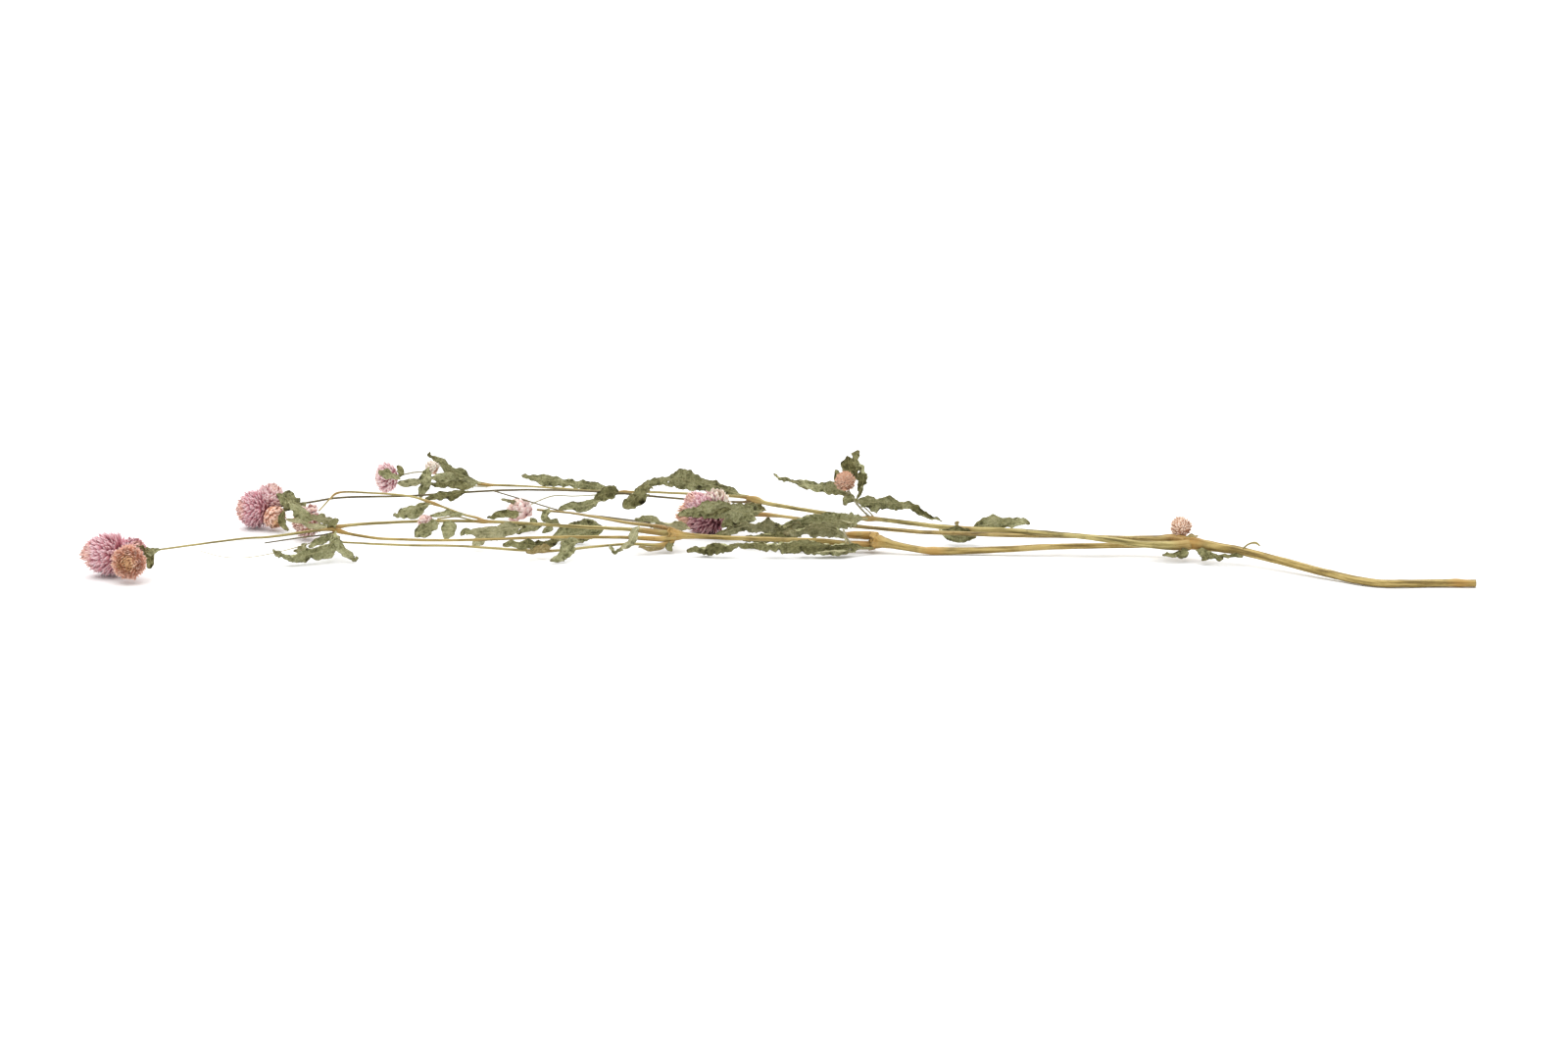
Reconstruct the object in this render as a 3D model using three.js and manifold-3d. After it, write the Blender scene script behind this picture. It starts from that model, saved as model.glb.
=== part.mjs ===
// Dried globe amaranth: one cut, branched flowering stem lying on a surface.
// Millimetres, +Z up. +X runs from the flower heads towards the cut end of the main stem,
// and -Y is the side that the biggest leaves face. Everything is placed in plant
// coordinates, and the last lines centre the plant over the origin.
import * as THREE from 'three';
import { mergeVertices } from 'three/addons/utils/BufferGeometryUtils.js';
import Module from 'manifold-3d';

const wasm = await Module();
wasm.setup();

// Driving dimensions
const LEAF_THICKNESS = 0.8;
const LEAF_END_WIDTH = 0.14; // share of the full width left at a leaf's two ends
const LEAF_STEPS = 7; // lengths along a leaf
const LEAF_LANES = 2; // strips across a leaf
const MID_FOLD = 0.25; // how far a leaf's margins lift out of the plane, share of half width
const STEP_LENGTH = 9; // length of one straight piece of a stem
const THICK_STEM = 1.0; // a stem of at least this radius gets the rounder section
const ROUND_SIDES = 8;
const THIN_SIDES = 6;
const HEAD_SIDES = 14;
const FLOOR_BLOCK = 800; // block below z = 0 that flattens what rests on the surface

const COLOURS = {
  stem: 0x9c8a4c,
  stalk: 0x8c8052,
  pink: 0xc78fa0,
  peach: 0xd0a184,
  pale: 0xc9bda0,
  leaf: 0x7c8560,
  darkLeaf: 0x4d5236,
  paleLeaf: 0xa0a47c,
};

const DEPTH = new THREE.Vector3(0, 1, 0);
const plant = new THREE.Group();

function material(colour, roughness = 0.85) {
  return new THREE.MeshStandardMaterial({ color: COLOURS[colour], roughness, metalness: 0 });
}

function curve(points) {
  return new THREE.CatmullRomCurve3(
    points.map(([x, y, z]) => new THREE.Vector3(x, y, z)),
    false,
    'centripetal',
  );
}

// Unit vectors square to a route: one in the plane that faces -Y, one across it.
function crossAxes(route, t) {
  const tangent = route.getTangentAt(t);
  const side = new THREE.Vector3().crossVectors(tangent, DEPTH).normalize();
  const back = new THREE.Vector3().crossVectors(side, tangent).normalize();
  return { side, back };
}

// Moves every vertex of a geometry through place(vertex) and welds the result.
function mapped(geometry, place) {
  const position = geometry.attributes.position;
  const vertex = new THREE.Vector3();
  for (let i = 0; i < position.count; i += 1) {
    vertex.fromBufferAttribute(position, i);
    place(vertex);
    position.setXYZ(i, vertex.x, vertex.y, vertex.z);
  }
  geometry.deleteAttribute('normal');
  geometry.deleteAttribute('uv');
  const welded = mergeVertices(geometry, 1e-4);
  welded.computeVertexNormals();
  return welded;
}

function solid(geometry) {
  return new wasm.Manifold(
    new wasm.Mesh({
      numProp: 3,
      vertProperties: new Float32Array(geometry.attributes.position.array),
      triVerts: new Uint32Array(geometry.index.array),
    }),
  );
}

function toGeometry(manifold) {
  const mesh = manifold.getMesh();
  const geometry = new THREE.BufferGeometry();
  geometry.setAttribute('position', new THREE.BufferAttribute(mesh.vertProperties, 3));
  geometry.setIndex(new THREE.BufferAttribute(mesh.triVerts, 1));
  geometry.computeVertexNormals();
  return geometry;
}

const belowSurface = solid(
  mapped(new THREE.BoxGeometry(FLOOR_BLOCK, FLOOR_BLOCK, FLOOR_BLOCK), (v) => {
    v.z -= FLOOR_BLOCK / 2;
  }),
);

// What reaches the surface is flattened on it.
function rested(geometry) {
  return toGeometry(solid(geometry).subtract(belowSurface));
}

function add(name, geometry, colour) {
  const mesh = new THREE.Mesh(geometry, material(colour));
  mesh.name = name;
  plant.add(mesh);
}

// A tapering stem through [x, y, z, radius] points.
function stemGeometry(points) {
  const route = curve(points);
  const widest = Math.max(...points.map((p) => p[3]));
  const sides = widest >= THICK_STEM ? ROUND_SIDES : THIN_SIDES;
  const steps = Math.max(points.length, Math.ceil(route.getLength() / STEP_LENGTH));
  const radii = curve(points.map((p, i) => [i, p[3], 0]));
  const spans = points.length - 1;
  const barrel = new THREE.CylinderGeometry(1, 1, 1, sides, steps);
  return mapped(barrel, (v) => {
    const t = THREE.MathUtils.clamp(v.y + 0.5, 0, 1);
    const u = route.getUtoTmapping(t);
    const radius = radii.getPoint(Math.round(u * spans * 1000) / (spans * 1000)).y;
    const { side, back } = crossAxes(route, t);
    const centre = route.getPointAt(t);
    const { x, z } = v;
    v.copy(centre).addScaledVector(side, x * radius).addScaledVector(back, z * radius);
  });
}

function stem(name, colour, points) {
  add(name, stemGeometry(points), colour);
}

function restingStem(name, colour, points) {
  add(name, rested(stemGeometry(points)), colour);
}

// A dry leaf along a midrib. The blade faces -Y and is turned about the midrib by turn
// degrees; its margins lift off the midrib's plane.
function leafGeometry(points, halfWidth, turn) {
  const midrib = curve(points);
  const slab = new THREE.BoxGeometry(1, 1, 1, LEAF_STEPS, LEAF_LANES, 1);
  const turned = THREE.MathUtils.degToRad(turn);
  return mapped(slab, (v) => {
    const t = THREE.MathUtils.clamp(v.x + 0.5, 0, 1);
    const across = -2 * v.y;
    const through = v.z * LEAF_THICKNESS;
    const swell = Math.sin(Math.PI * Math.pow(t, 0.8));
    const width = halfWidth * (LEAF_END_WIDTH + (1 - LEAF_END_WIDTH) * swell);
    const { side, back } = crossAxes(midrib, t);
    const blade = side.clone().multiplyScalar(Math.cos(turned));
    blade.addScaledVector(back, Math.sin(turned));
    const normal = back.clone().multiplyScalar(Math.cos(turned));
    normal.addScaledVector(side, -Math.sin(turned));
    const lift = MID_FOLD * width * across * across + through;
    v.copy(midrib.getPointAt(t)).addScaledVector(blade, across * width);
    v.addScaledVector(normal, lift);
  });
}

function leaf(name, colour, halfWidth, points, turn = 0) {
  add(name, leafGeometry(points, halfWidth, turn), colour);
}

function restingLeaf(name, colour, halfWidth, points, turn = 0) {
  add(name, rested(leafGeometry(points, halfWidth, turn)), colour);
}

// A flower head: a blunt egg of overlapping bracts around its axis. size is
// [radius, length], and flatten squashes it towards the surface.
function headGeometry(centre, axis, [radius, length], flatten = 1) {
  const outline = [
    [0, -0.5],
    [0.55, -0.46],
    [0.88, -0.24],
    [1, 0.04],
    [0.9, 0.28],
    [0.6, 0.44],
    [0, 0.5],
  ].map(([across, along]) => new THREE.Vector2(across * radius, along * length));
  const turn = new THREE.Quaternion().setFromUnitVectors(
    new THREE.Vector3(0, 1, 0),
    new THREE.Vector3(...axis).normalize(),
  );
  return mapped(new THREE.LatheGeometry(outline, HEAD_SIDES), (v) => {
    v.applyQuaternion(turn);
    v.z *= flatten;
    v.add(new THREE.Vector3(...centre));
  });
}

function head(name, colour, centre, axis, size, flatten) {
  add(name, headGeometry(centre, axis, size, flatten), colour);
}

function restingHead(name, colour, centre, axis, size, flatten) {
  add(name, rested(headGeometry(centre, axis, size, flatten)), colour);
}

// Woody stems, from the cut end to the tips

restingStem('main_stem', 'stem', [
  [299, -67, 1.5, 1.6],
  [292, -66, 1.6, 1.6],
  [279, -67, 1.5, 1.6],
  [257, -67, 1.5, 1.6],
  [239, -52, 1.6, 1.7],
  [219, -34, 3.6, 1.8],
  [204, -22, 5.0, 1.9],
  [195, -18, 5.8, 2.0],
  [188, -15, 6.8, 2.4],
  [183, -13, 7.6, 3.1],
  [179, -12, 8.0, 2.6],
]);
restingStem('lower_branch', 'stem', [
  [174, -9, 6.4, 1.0],
  [159, -5, 5.1, 1.1],
  [124, -4, 4.2, 1.3],
  [104, -3, 3.0, 1.4],
  [84, -2, 1.9, 1.5],
  [70, -2, 1.6, 1.8],
  [59, -1, 2.8, 1.5],
  [48, 1, 4.2, 1.7],
  [44, 3, 5.0, 3.0],
  [41, 3, 5.2, 4.5],
]);
stem('upper_branch', 'stem', [
  [175, -17, 6.8, 1.2],
  [158, -15, 7.9, 1.0],
  [136, -6, 9.2, 1.0],
  [104, 10, 8.8, 0.9],
  [83, 20, 7.6, 1.0],
  [63, 31, 7.2, 0.8],
  [41, 42, 7.1, 1.0],
  [14, 55, 8.1, 0.7],
  [-7, 66, 9.2, 0.7],
  [-12, 69, 10.3, 1.0],
]);
stem('middle_branch', 'stem', [
  [174, -6, 9.4, 1.3],
  [166, -3, 8.0, 1.0],
  [151, 0, 7.4, 0.9],
  [125, 5, 7.0, 0.9],
  [104, 8, 6.6, 0.9],
  [82, 12, 6.6, 0.8],
  [63, 17, 6.6, 0.8],
  [38, 28, 6.3, 0.7],
  [22, 36, 6.4, 0.7],
  [3, 44, 7.6, 0.6],
  [-9, 46, 8.3, 0.9],
  [-18, 45, 8.4, 0.7],
]);
stem('front_stem', 'stem', [
  [39, 3, 4.4, 1.3],
  [31, 2, 4.3, 1.2],
  [20, 3, 5.2, 1.1],
  [2, 3, 5.9, 1.0],
  [-24, 4, 6.5, 0.9],
  [-38, 5, 6.9, 1.1],
  [-45, 5, 7.3, 1.6],
  [-49, 5, 7.6, 3.2],
]);
stem('cut_stub', 'stem', [
  [39, 9, 6.4, 1.0],
  [30, 11, 5.8, 1.1],
]);
stem('fan_stub', 'stem', [
  [-52, 9, 10.2, 0.9],
  [-68, 14, 11.2, 0.65],
  [-80, 20, 12.1, 0.6],
  [-94, 28, 12.7, 0.5],
  [-110, 38, 12.1, 0.5],
]);
stem('fan_stem_back', 'stem', [
  [-51, 6, 8.1, 1.3],
  [-62, 9, 8.8, 1.2],
  [-68, 10, 9.0, 0.8],
  [-98, 16, 9.4, 0.75],
  [-120, 20, 10.0, 0.7],
  [-133, 20, 10.4, 0.8],
  [-152, 18, 11.2, 0.65],
  [-173, 12, 11.8, 0.65],
  [-194, 5, 12.0, 0.75],
]);
stem('fan_stem_middle', 'stem', [
  [-51, 2, 6.0, 1.1],
  [-68, 0, 7.4, 0.7],
  [-100, 0, 7.6, 0.65],
  [-142, -2, 6.7, 0.6],
  [-163, -3, 7.1, 0.6],
  [-179, -2, 7.6, 0.6],
  [-192, -1, 9.4, 0.7],
  [-199, 0, 10.9, 0.9],
]);
stem('fan_stem_front', 'stem', [
  [-55, -1, 5.2, 0.7],
  [-67, -4, 5.6, 0.6],
  [-83, -8, 4.9, 0.6],
  [-95, -9, 3.7, 0.6],
  [-105, -9, 3.3, 0.9],
  [-118, -9, 3.9, 0.6],
  [-141, -11, 6.0, 0.5],
  [-171, -12, 6.8, 0.5],
  [-191, -12, 6.7, 0.45],
]);
stem('fan_twig', 'stalk', [
  [-68, 24, 10.3, 0.4],
  [-80, 30, 10.6, 0.4],
  [-95, 36, 11.0, 0.4],
  [-114, 46, 14.3, 0.35],
  [-131, 58, 16.7, 0.35],
]);
stem('side_shoot', 'stem', [
  [-135, 23, 11.4, 0.6],
  [-142, 26, 12.3, 0.55],
  [-152, 33, 14.4, 0.5],
  [-158, 36, 15.8, 0.9],
  [-167, 40, 17.8, 0.5],
  [-186, 44, 18.7, 0.5],
  [-200, 44, 19.0, 0.45],
  [-205, 40, 16.0, 0.4],
]);
stem('back_stem', 'stem', [
  [-15, 71, 11.2, 0.7],
  [-36, 75, 11.6, 0.6],
  [-57, 77, 12.2, 0.5],
  [-72, 79, 11.7, 0.9],
  [-84, 81, 11.9, 0.5],
  [-113, 85, 13.2, 0.5],
  [-134, 86, 13.8, 0.7],
]);
stem('back_twig', 'stalk', [
  [-15, 68, 9.4, 0.55],
  [-45, 68, 11.0, 0.5],
  [-82, 73, 13.2, 0.5],
  [-113, 74, 14.0, 0.5],
  [-135, 72, 13.9, 0.5],
  [-171, 64, 13.2, 0.5],
  [-203, 58, 13.5, 0.5],
  [-216, 56, 11.8, 0.5],
  [-228, 55, 10.2, 0.45],
]);
stem('beige_bud_stalk', 'stalk', [
  [-75, 76, 11.0, 0.35],
  [-85, 70, 12.4, 0.3],
  [-95, 64, 13.1, 0.3],
  [-104, 60, 14.0, 0.3],
  [-112, 55, 12.0, 0.3],
]);
stem('tip_stem', 'stem', [
  [-201, -1, 11.1, 0.6],
  [-209, -6, 11.4, 0.6],
  [-225, -16, 11.2, 0.5],
  [-234, -22, 11.9, 0.5],
  [-256, -37, 12.1, 0.45],
  [-274, -47, 11.6, 0.4],
]);
stem('oval_head_stalk', 'stalk', [
  [-137, 88, 14.3, 0.4],
  [-156, 92, 17.0, 0.35],
  [-168, 92, 18.8, 0.35],
  [-176, 88, 18.2, 0.35],
]);
stem('hairy_bud_stalk', 'stalk', [
  [-137, 84, 12.7, 0.35],
  [-151, 85, 14.7, 0.3],
  [-158, 87, 17.4, 0.3],
]);
stem('upright_stalk', 'stalk', [
  [41, 43, 8.6, 0.6],
  [34, 44, 14.9, 0.5],
  [31, 44, 18.4, 0.5],
]);
stem('wrapped_bud_stalk', 'stalk', [
  [-141, 18, 12.3, 0.35],
  [-145, 14, 14.0, 0.35],
  [-153, 11, 13.6, 0.35],
]);

// Flower heads

restingHead('tip_head', 'pink', [-293, -44, 9.7], [-1, -0.1, -0.05], [9.9, 20]);
restingHead('tip_side_head', 'peach', [-279, -58, 6.8], [-0.2, -1, 0.15], [7, 11]);
restingHead('double_head', 'pink', [-240, 55, 8.3], [-0.8, -0.3, 0.1], [8.7, 17]);
head('double_head_upper', 'pink', [-231.5, 65, 14.5], [0.4, 0.1, 0.6], [6, 8]);
head('double_head_lower', 'peach', [-229, 44, 5.2], [0.3, -0.8, -0.1], [3.8, 5.5]);
restingHead('pale_head', 'pink', [-215, 30, 7.6], [-0.3, -0.9, 0], [7.8, 13]);
head('oval_head', 'pink', [-183, 86, 16.9], [-1, -0.1, -0.1], [7.4, 11]);
head('hairy_bud', 'pale', [-163.5, 88, 21.5], [-0.6, -0.1, 0.7], [2.5, 6]);
head('beige_bud', 'pale', [-119.5, 50, 8.5], [-0.9, -0.2, -0.1], [4.5, 10]);
head('upright_bud', 'pink', [30, 44, 23.6], [0, -0.1, 1], [4.6, 9.2]);
restingHead('middle_head', 'pink', [-34, 43, 8.8], [-1, 0, 0.35], [9.4, 26], 0.95);
head('wrapped_bud', 'pink', [-158.5, 10, 11.2], [-1, -0.2, -0.3], [3.8, 8]);
head('joint_bud', 'pale', [178, -7, 15.6], [-0.7, -0.1, 0.8], [4.4, 9.6]);

// Leaves

leaf('tip_leaf', 'leaf', 3.2, [[-268, -52, 15.5], [-268, -52, 10.6], [-268, -52, 5.7]]);
leaf('link_leaf', 'leaf', 3.2, [[-222, 46, 15.0], [-216, 43, 15.4], [-210, 41, 13.0]]);
restingLeaf('crescent_leaf', 'darkLeaf', 2.6, [
  [-197, -6, 8.5],
  [-198, -13, 6.6],
  [-202, -18, 4.4],
  [-211, -22, 2.8],
  [-218, -25, 4.4],
  [-221, -26, 9.0],
]);
restingLeaf('drooping_leaf', 'darkLeaf', 2.8, [[-194, -16, 9.2], [-191, -17, 5.0], [-188, -17, 0.4]]);
leaf('upright_leaf', 'leaf', 2.8, [[-147, 94, 16.5], [-154, 94, 20.3], [-163, 93, 26.1]]);
leaf('spread_leaf', 'leaf', 2.6, [[-140, 81, 17.2], [-148, 80, 18.6], [-157, 79, 20.2]]);
leaf('hanging_leaf', 'leaf', 2.4, [[-161, 73, 24.0], [-162, 72, 17.2], [-164, 71, 12.0]]);
leaf('shoot_leaf', 'darkLeaf', 3.0, [[-161, 33, 14.4], [-167, 31, 13.4], [-174, 30, 11.0]]);
leaf('pale_leaf', 'paleLeaf', 3.2, [[-118, 10, 9.2], [-128, 8, 8.1], [-138, 8, 7.2]]);
leaf('bud_leaf', 'darkLeaf', 2.4, [[-117, 41, 9.4], [-125, 41, 9.0], [-131, 41, 7.3]]);
restingLeaf('broad_leaf', 'leaf', 4.0, [[-80, 22, 7.0], [-90, 23, 4.0], [-101, 22, 1.0]]);
restingLeaf('pointed_leaf', 'darkLeaf', 3.0, [[-91, -14, 8.6], [-95, -17, 5.0], [-100, -20, 0.3]]);
leaf('long_back_leaf', 'darkLeaf', 2.8, [[-85, 91, 11.0], [-102, 93, 13.2], [-119, 93, 14.6]]);
leaf('round_leaf', 'darkLeaf', 3.4, [[-77, 65, 14.0], [-81, 64, 11.0], [-84, 63, 8.0]]);
leaf('olive_leaf', 'leaf', 3.8, [[-62, 64, 16.0], [-66, 63, 12.2], [-71, 61, 8.2]]);
leaf('crest_leaf', 'leaf', 4.0, [
  [-21, 82, 10.2],
  [-33, 84, 13.8],
  [-45, 85, 16.3],
  [-56, 85, 16.3],
  [-66, 84, 13.8],
]);
leaf('ribbed_leaf', 'paleLeaf', 3.2, [[-37, 18, 9.5], [-45, 19, 8.4], [-54, 20, 7.0]]);
leaf('cover_leaf', 'leaf', 4.4, [[-22, 29, 10.8], [-32, 28, 14.1], [-43, 30, 17.2]]);
leaf('middle_leaf', 'paleLeaf', 3.0, [
  [7, 20, 6.4],
  [-2, 20, 6.9],
  [-13, 21, 7.6],
  [-24, 20, 6.4],
]);
leaf('crossing_leaf', 'leaf', 2.8, [[34, 22, 10.5], [20, 20, 9.1], [1, 16, 7.3]]);
leaf('folded_leaf', 'paleLeaf', 3.2, [[31, 8.5, 8.8], [18, 10, 6.6], [6, 10, 5.9]], 0);
restingLeaf('bottom_leaf', 'darkLeaf', 2.2, [
  [40, -5, 3.0],
  [28, -6, 2.1],
  [17, -7, 2.1],
  [-2, -7, 2.6],
  [-22, -7, 4.2],
  [-39, -7, 6.2],
]);
leaf('tall_leaf', 'darkLeaf', 2.0, [[36, 40, 19.0], [38, 39, 29.0], [34, 39, 39.0]]);
leaf('crinkled_leaf', 'leaf', 3.0, [[28, 51, 20.1], [13, 51, 21.7], [-1, 51, 23.5]]);
leaf('bud_base_leaf', 'leaf', 3.2, [
  [35, 39, 16.9],
  [47, 38, 15.1],
  [60, 38, 12.0],
  [74, 38, 6.2],
]);
restingLeaf('touching_leaf', 'darkLeaf', 2.2, [[75, 17, 3.9], [80, 18, 3.0], [84, 21, 0.8]]);
leaf('branch_leaf', 'leaf', 3.2, [[90, 19, 8.0], [103, 20, 10.0], [116, 20, 10.5]]);

// The plant's box is centred over the origin, with the surface at z = 0.
const box = new THREE.Box3().setFromObject(plant);
plant.position.set(-(box.min.x + box.max.x) / 2, -(box.min.y + box.max.y) / 2, 0);

export default plant;
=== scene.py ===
"""Dried globe amaranth: one cut, branched flowering stem lying on a pale surface.

Lengths of the plant are written in millimetres in the plant's own coordinates, as its
construction lists them, and mm() turns them into metres in the shared frame. Shapes are
modelled as a straight cone, grid or sphere that is then laid along its route.
"""

from __future__ import annotations

import logging
import math
import random
from dataclasses import dataclass, field
from enum import Enum
from typing import Callable, Sequence

import bmesh
import bpy
from mathutils import Matrix, Quaternion, Vector, noise

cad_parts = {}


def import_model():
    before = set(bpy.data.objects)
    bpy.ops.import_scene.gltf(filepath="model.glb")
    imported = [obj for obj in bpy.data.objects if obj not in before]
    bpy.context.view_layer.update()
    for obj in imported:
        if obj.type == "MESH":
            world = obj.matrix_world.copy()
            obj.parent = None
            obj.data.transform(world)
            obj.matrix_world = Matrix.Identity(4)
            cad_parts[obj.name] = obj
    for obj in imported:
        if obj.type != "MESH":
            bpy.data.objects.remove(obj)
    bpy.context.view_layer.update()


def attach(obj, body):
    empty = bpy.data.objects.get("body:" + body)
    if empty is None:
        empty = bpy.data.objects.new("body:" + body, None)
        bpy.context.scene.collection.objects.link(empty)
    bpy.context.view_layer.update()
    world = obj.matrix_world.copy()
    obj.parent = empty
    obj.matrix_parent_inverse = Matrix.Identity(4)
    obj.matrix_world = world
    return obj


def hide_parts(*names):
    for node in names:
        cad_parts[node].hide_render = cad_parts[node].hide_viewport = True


LOG = logging.getLogger("globe_amaranth")

MM = 0.001
BODY = "root"
PLANT_CENTRE_MM = Vector((-1.856, 12.7, 0.0))  # centre of the plant's box, plant coordinates
DEPTH = Vector((0.0, 1.0, 0.0))
UP = Vector((0.0, 0.0, 1.0))
CLEARANCE_MM = 0.12  # nothing comes closer to the surface than this
GOLDEN_ANGLE = math.pi * (3.0 - math.sqrt(5.0))

Point = tuple[float, float, float]
Colour = tuple[float, float, float, float]


def mm(place: Vector) -> Vector:
    """Turns a place in plant millimetres into metres in the shared frame."""
    return (place - PLANT_CENTRE_MM) * MM


def rgb(red: int, green: int, blue: int) -> Colour:
    """Gives the linear colour of an everyday 0 to 255 colour."""

    def linear(value: int) -> float:
        """Removes the display curve from one channel."""
        share = value / 255.0
        return share / 12.92 if share <= 0.04045 else ((share + 0.055) / 1.055) ** 2.4

    return (linear(red), linear(green), linear(blue), 1.0)


def smooth(low: float, high: float, value: float) -> float:
    """Eases from 0 at low to 1 at high."""
    share = min(1.0, max(0.0, (value - low) / (high - low)))
    return share * share * (3.0 - 2.0 * share)


class Slot(Enum):
    """The record's material slots."""

    STEM = "stem"
    STALK = "stalk"
    PINK = "pink_bracts"
    PALE = "pale_bracts"
    LEAF = "leaf"
    DARK_LEAF = "dark_leaf"
    PALE_LEAF = "pale_leaf"


# --------------------------------------------------------------------------------------
# Routes
# --------------------------------------------------------------------------------------


@dataclass
class Route:
    """A smooth line through listed points, measured by its length."""

    points: list[Vector]
    samples: int = 16
    line: list[Vector] = field(init=False)
    marks: list[float] = field(init=False)
    keys: list[float] = field(init=False)

    def __post_init__(self) -> None:
        """Samples the line and measures it."""
        ends = [
            self.points[0] * 2.0 - self.points[1],
            *self.points,
            self.points[-1] * 2.0 - self.points[-2],
        ]
        self.line = []
        self.keys = []
        for i in range(len(self.points) - 1):
            for k in range(self.samples):
                share = k / self.samples
                self.line.append(self._span(ends[i : i + 4], share))
                self.keys.append(i + share)
        self.line.append(self.points[-1].copy())
        self.keys.append(len(self.points) - 1.0)
        self.marks = [0.0]
        for a, b in zip(self.line, self.line[1:]):
            self.marks.append(self.marks[-1] + (b - a).length)

    @staticmethod
    def _span(corners: Sequence[Vector], share: float) -> Vector:
        """Gives a place between the two middle corners.

        Args:
            corners: four points in a row.
            share: how far along the middle span, from 0 to 1.

        Returns:
            The place on the centripetal curve.
        """
        times = [0.0]
        for a, b in zip(corners, corners[1:]):
            times.append(times[-1] + max(1e-4, math.sqrt((b - a).length)))
        t = times[1] + share * (times[2] - times[1])
        level = list(corners)
        for depth in (1, 2, 3):
            level = [
                level[i].lerp(level[i + 1], (t - times[a]) / (times[b] - times[a]))
                for i, (a, b) in enumerate(Route._knots(depth))
            ]
        return level[0]

    @staticmethod
    def _knots(depth: int) -> list[tuple[int, int]]:
        """Names the knots that each blend of the curve's pyramid runs between."""
        return {1: [(0, 1), (1, 2), (2, 3)], 2: [(0, 2), (1, 3)], 3: [(1, 2)]}[depth]

    @property
    def length(self) -> float:
        """Length of the line."""
        return self.marks[-1]

    def at(self, share: float) -> tuple[Vector, Vector, float]:
        """Looks up a place on the route.

        Args:
            share: part of the whole length, from 0 to 1.

        Returns:
            The place, the unit direction there, and the fractional point number.
        """
        wanted = min(1.0, max(0.0, share)) * self.length
        low, high = 0, len(self.marks) - 1
        while high - low > 1:
            middle = (low + high) // 2
            if self.marks[middle] <= wanted:
                low = middle
            else:
                high = middle
        step = self.marks[high] - self.marks[low]
        part = (wanted - self.marks[low]) / step if step > 0 else 0.0
        place = self.line[low].lerp(self.line[high], part)
        before = self.line[max(0, low - 1)]
        after = self.line[min(len(self.line) - 1, high + 1)]
        key = self.keys[low] + (self.keys[high] - self.keys[low]) * part
        return place, (after - before).normalized(), key

    def cross(self, share: float) -> tuple[Vector, Vector, Vector]:
        """Gives a place and the two directions square to the route there.

        Args:
            share: part of the whole length, from 0 to 1.

        Returns:
            The place, the direction across in the plane that faces -Y, and the
            direction away from that plane, towards +Y.
        """
        place, direction, _ = self.at(share)
        side = direction.cross(DEPTH).normalized()
        back = side.cross(direction).normalized()
        return place, side, back


def route(points: Sequence[Sequence[float]]) -> Route:
    """Makes a route from listed points, of which only x, y and z are read."""
    return Route([Vector(p[:3]) for p in points])


# --------------------------------------------------------------------------------------
# Finishes
# --------------------------------------------------------------------------------------


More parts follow.
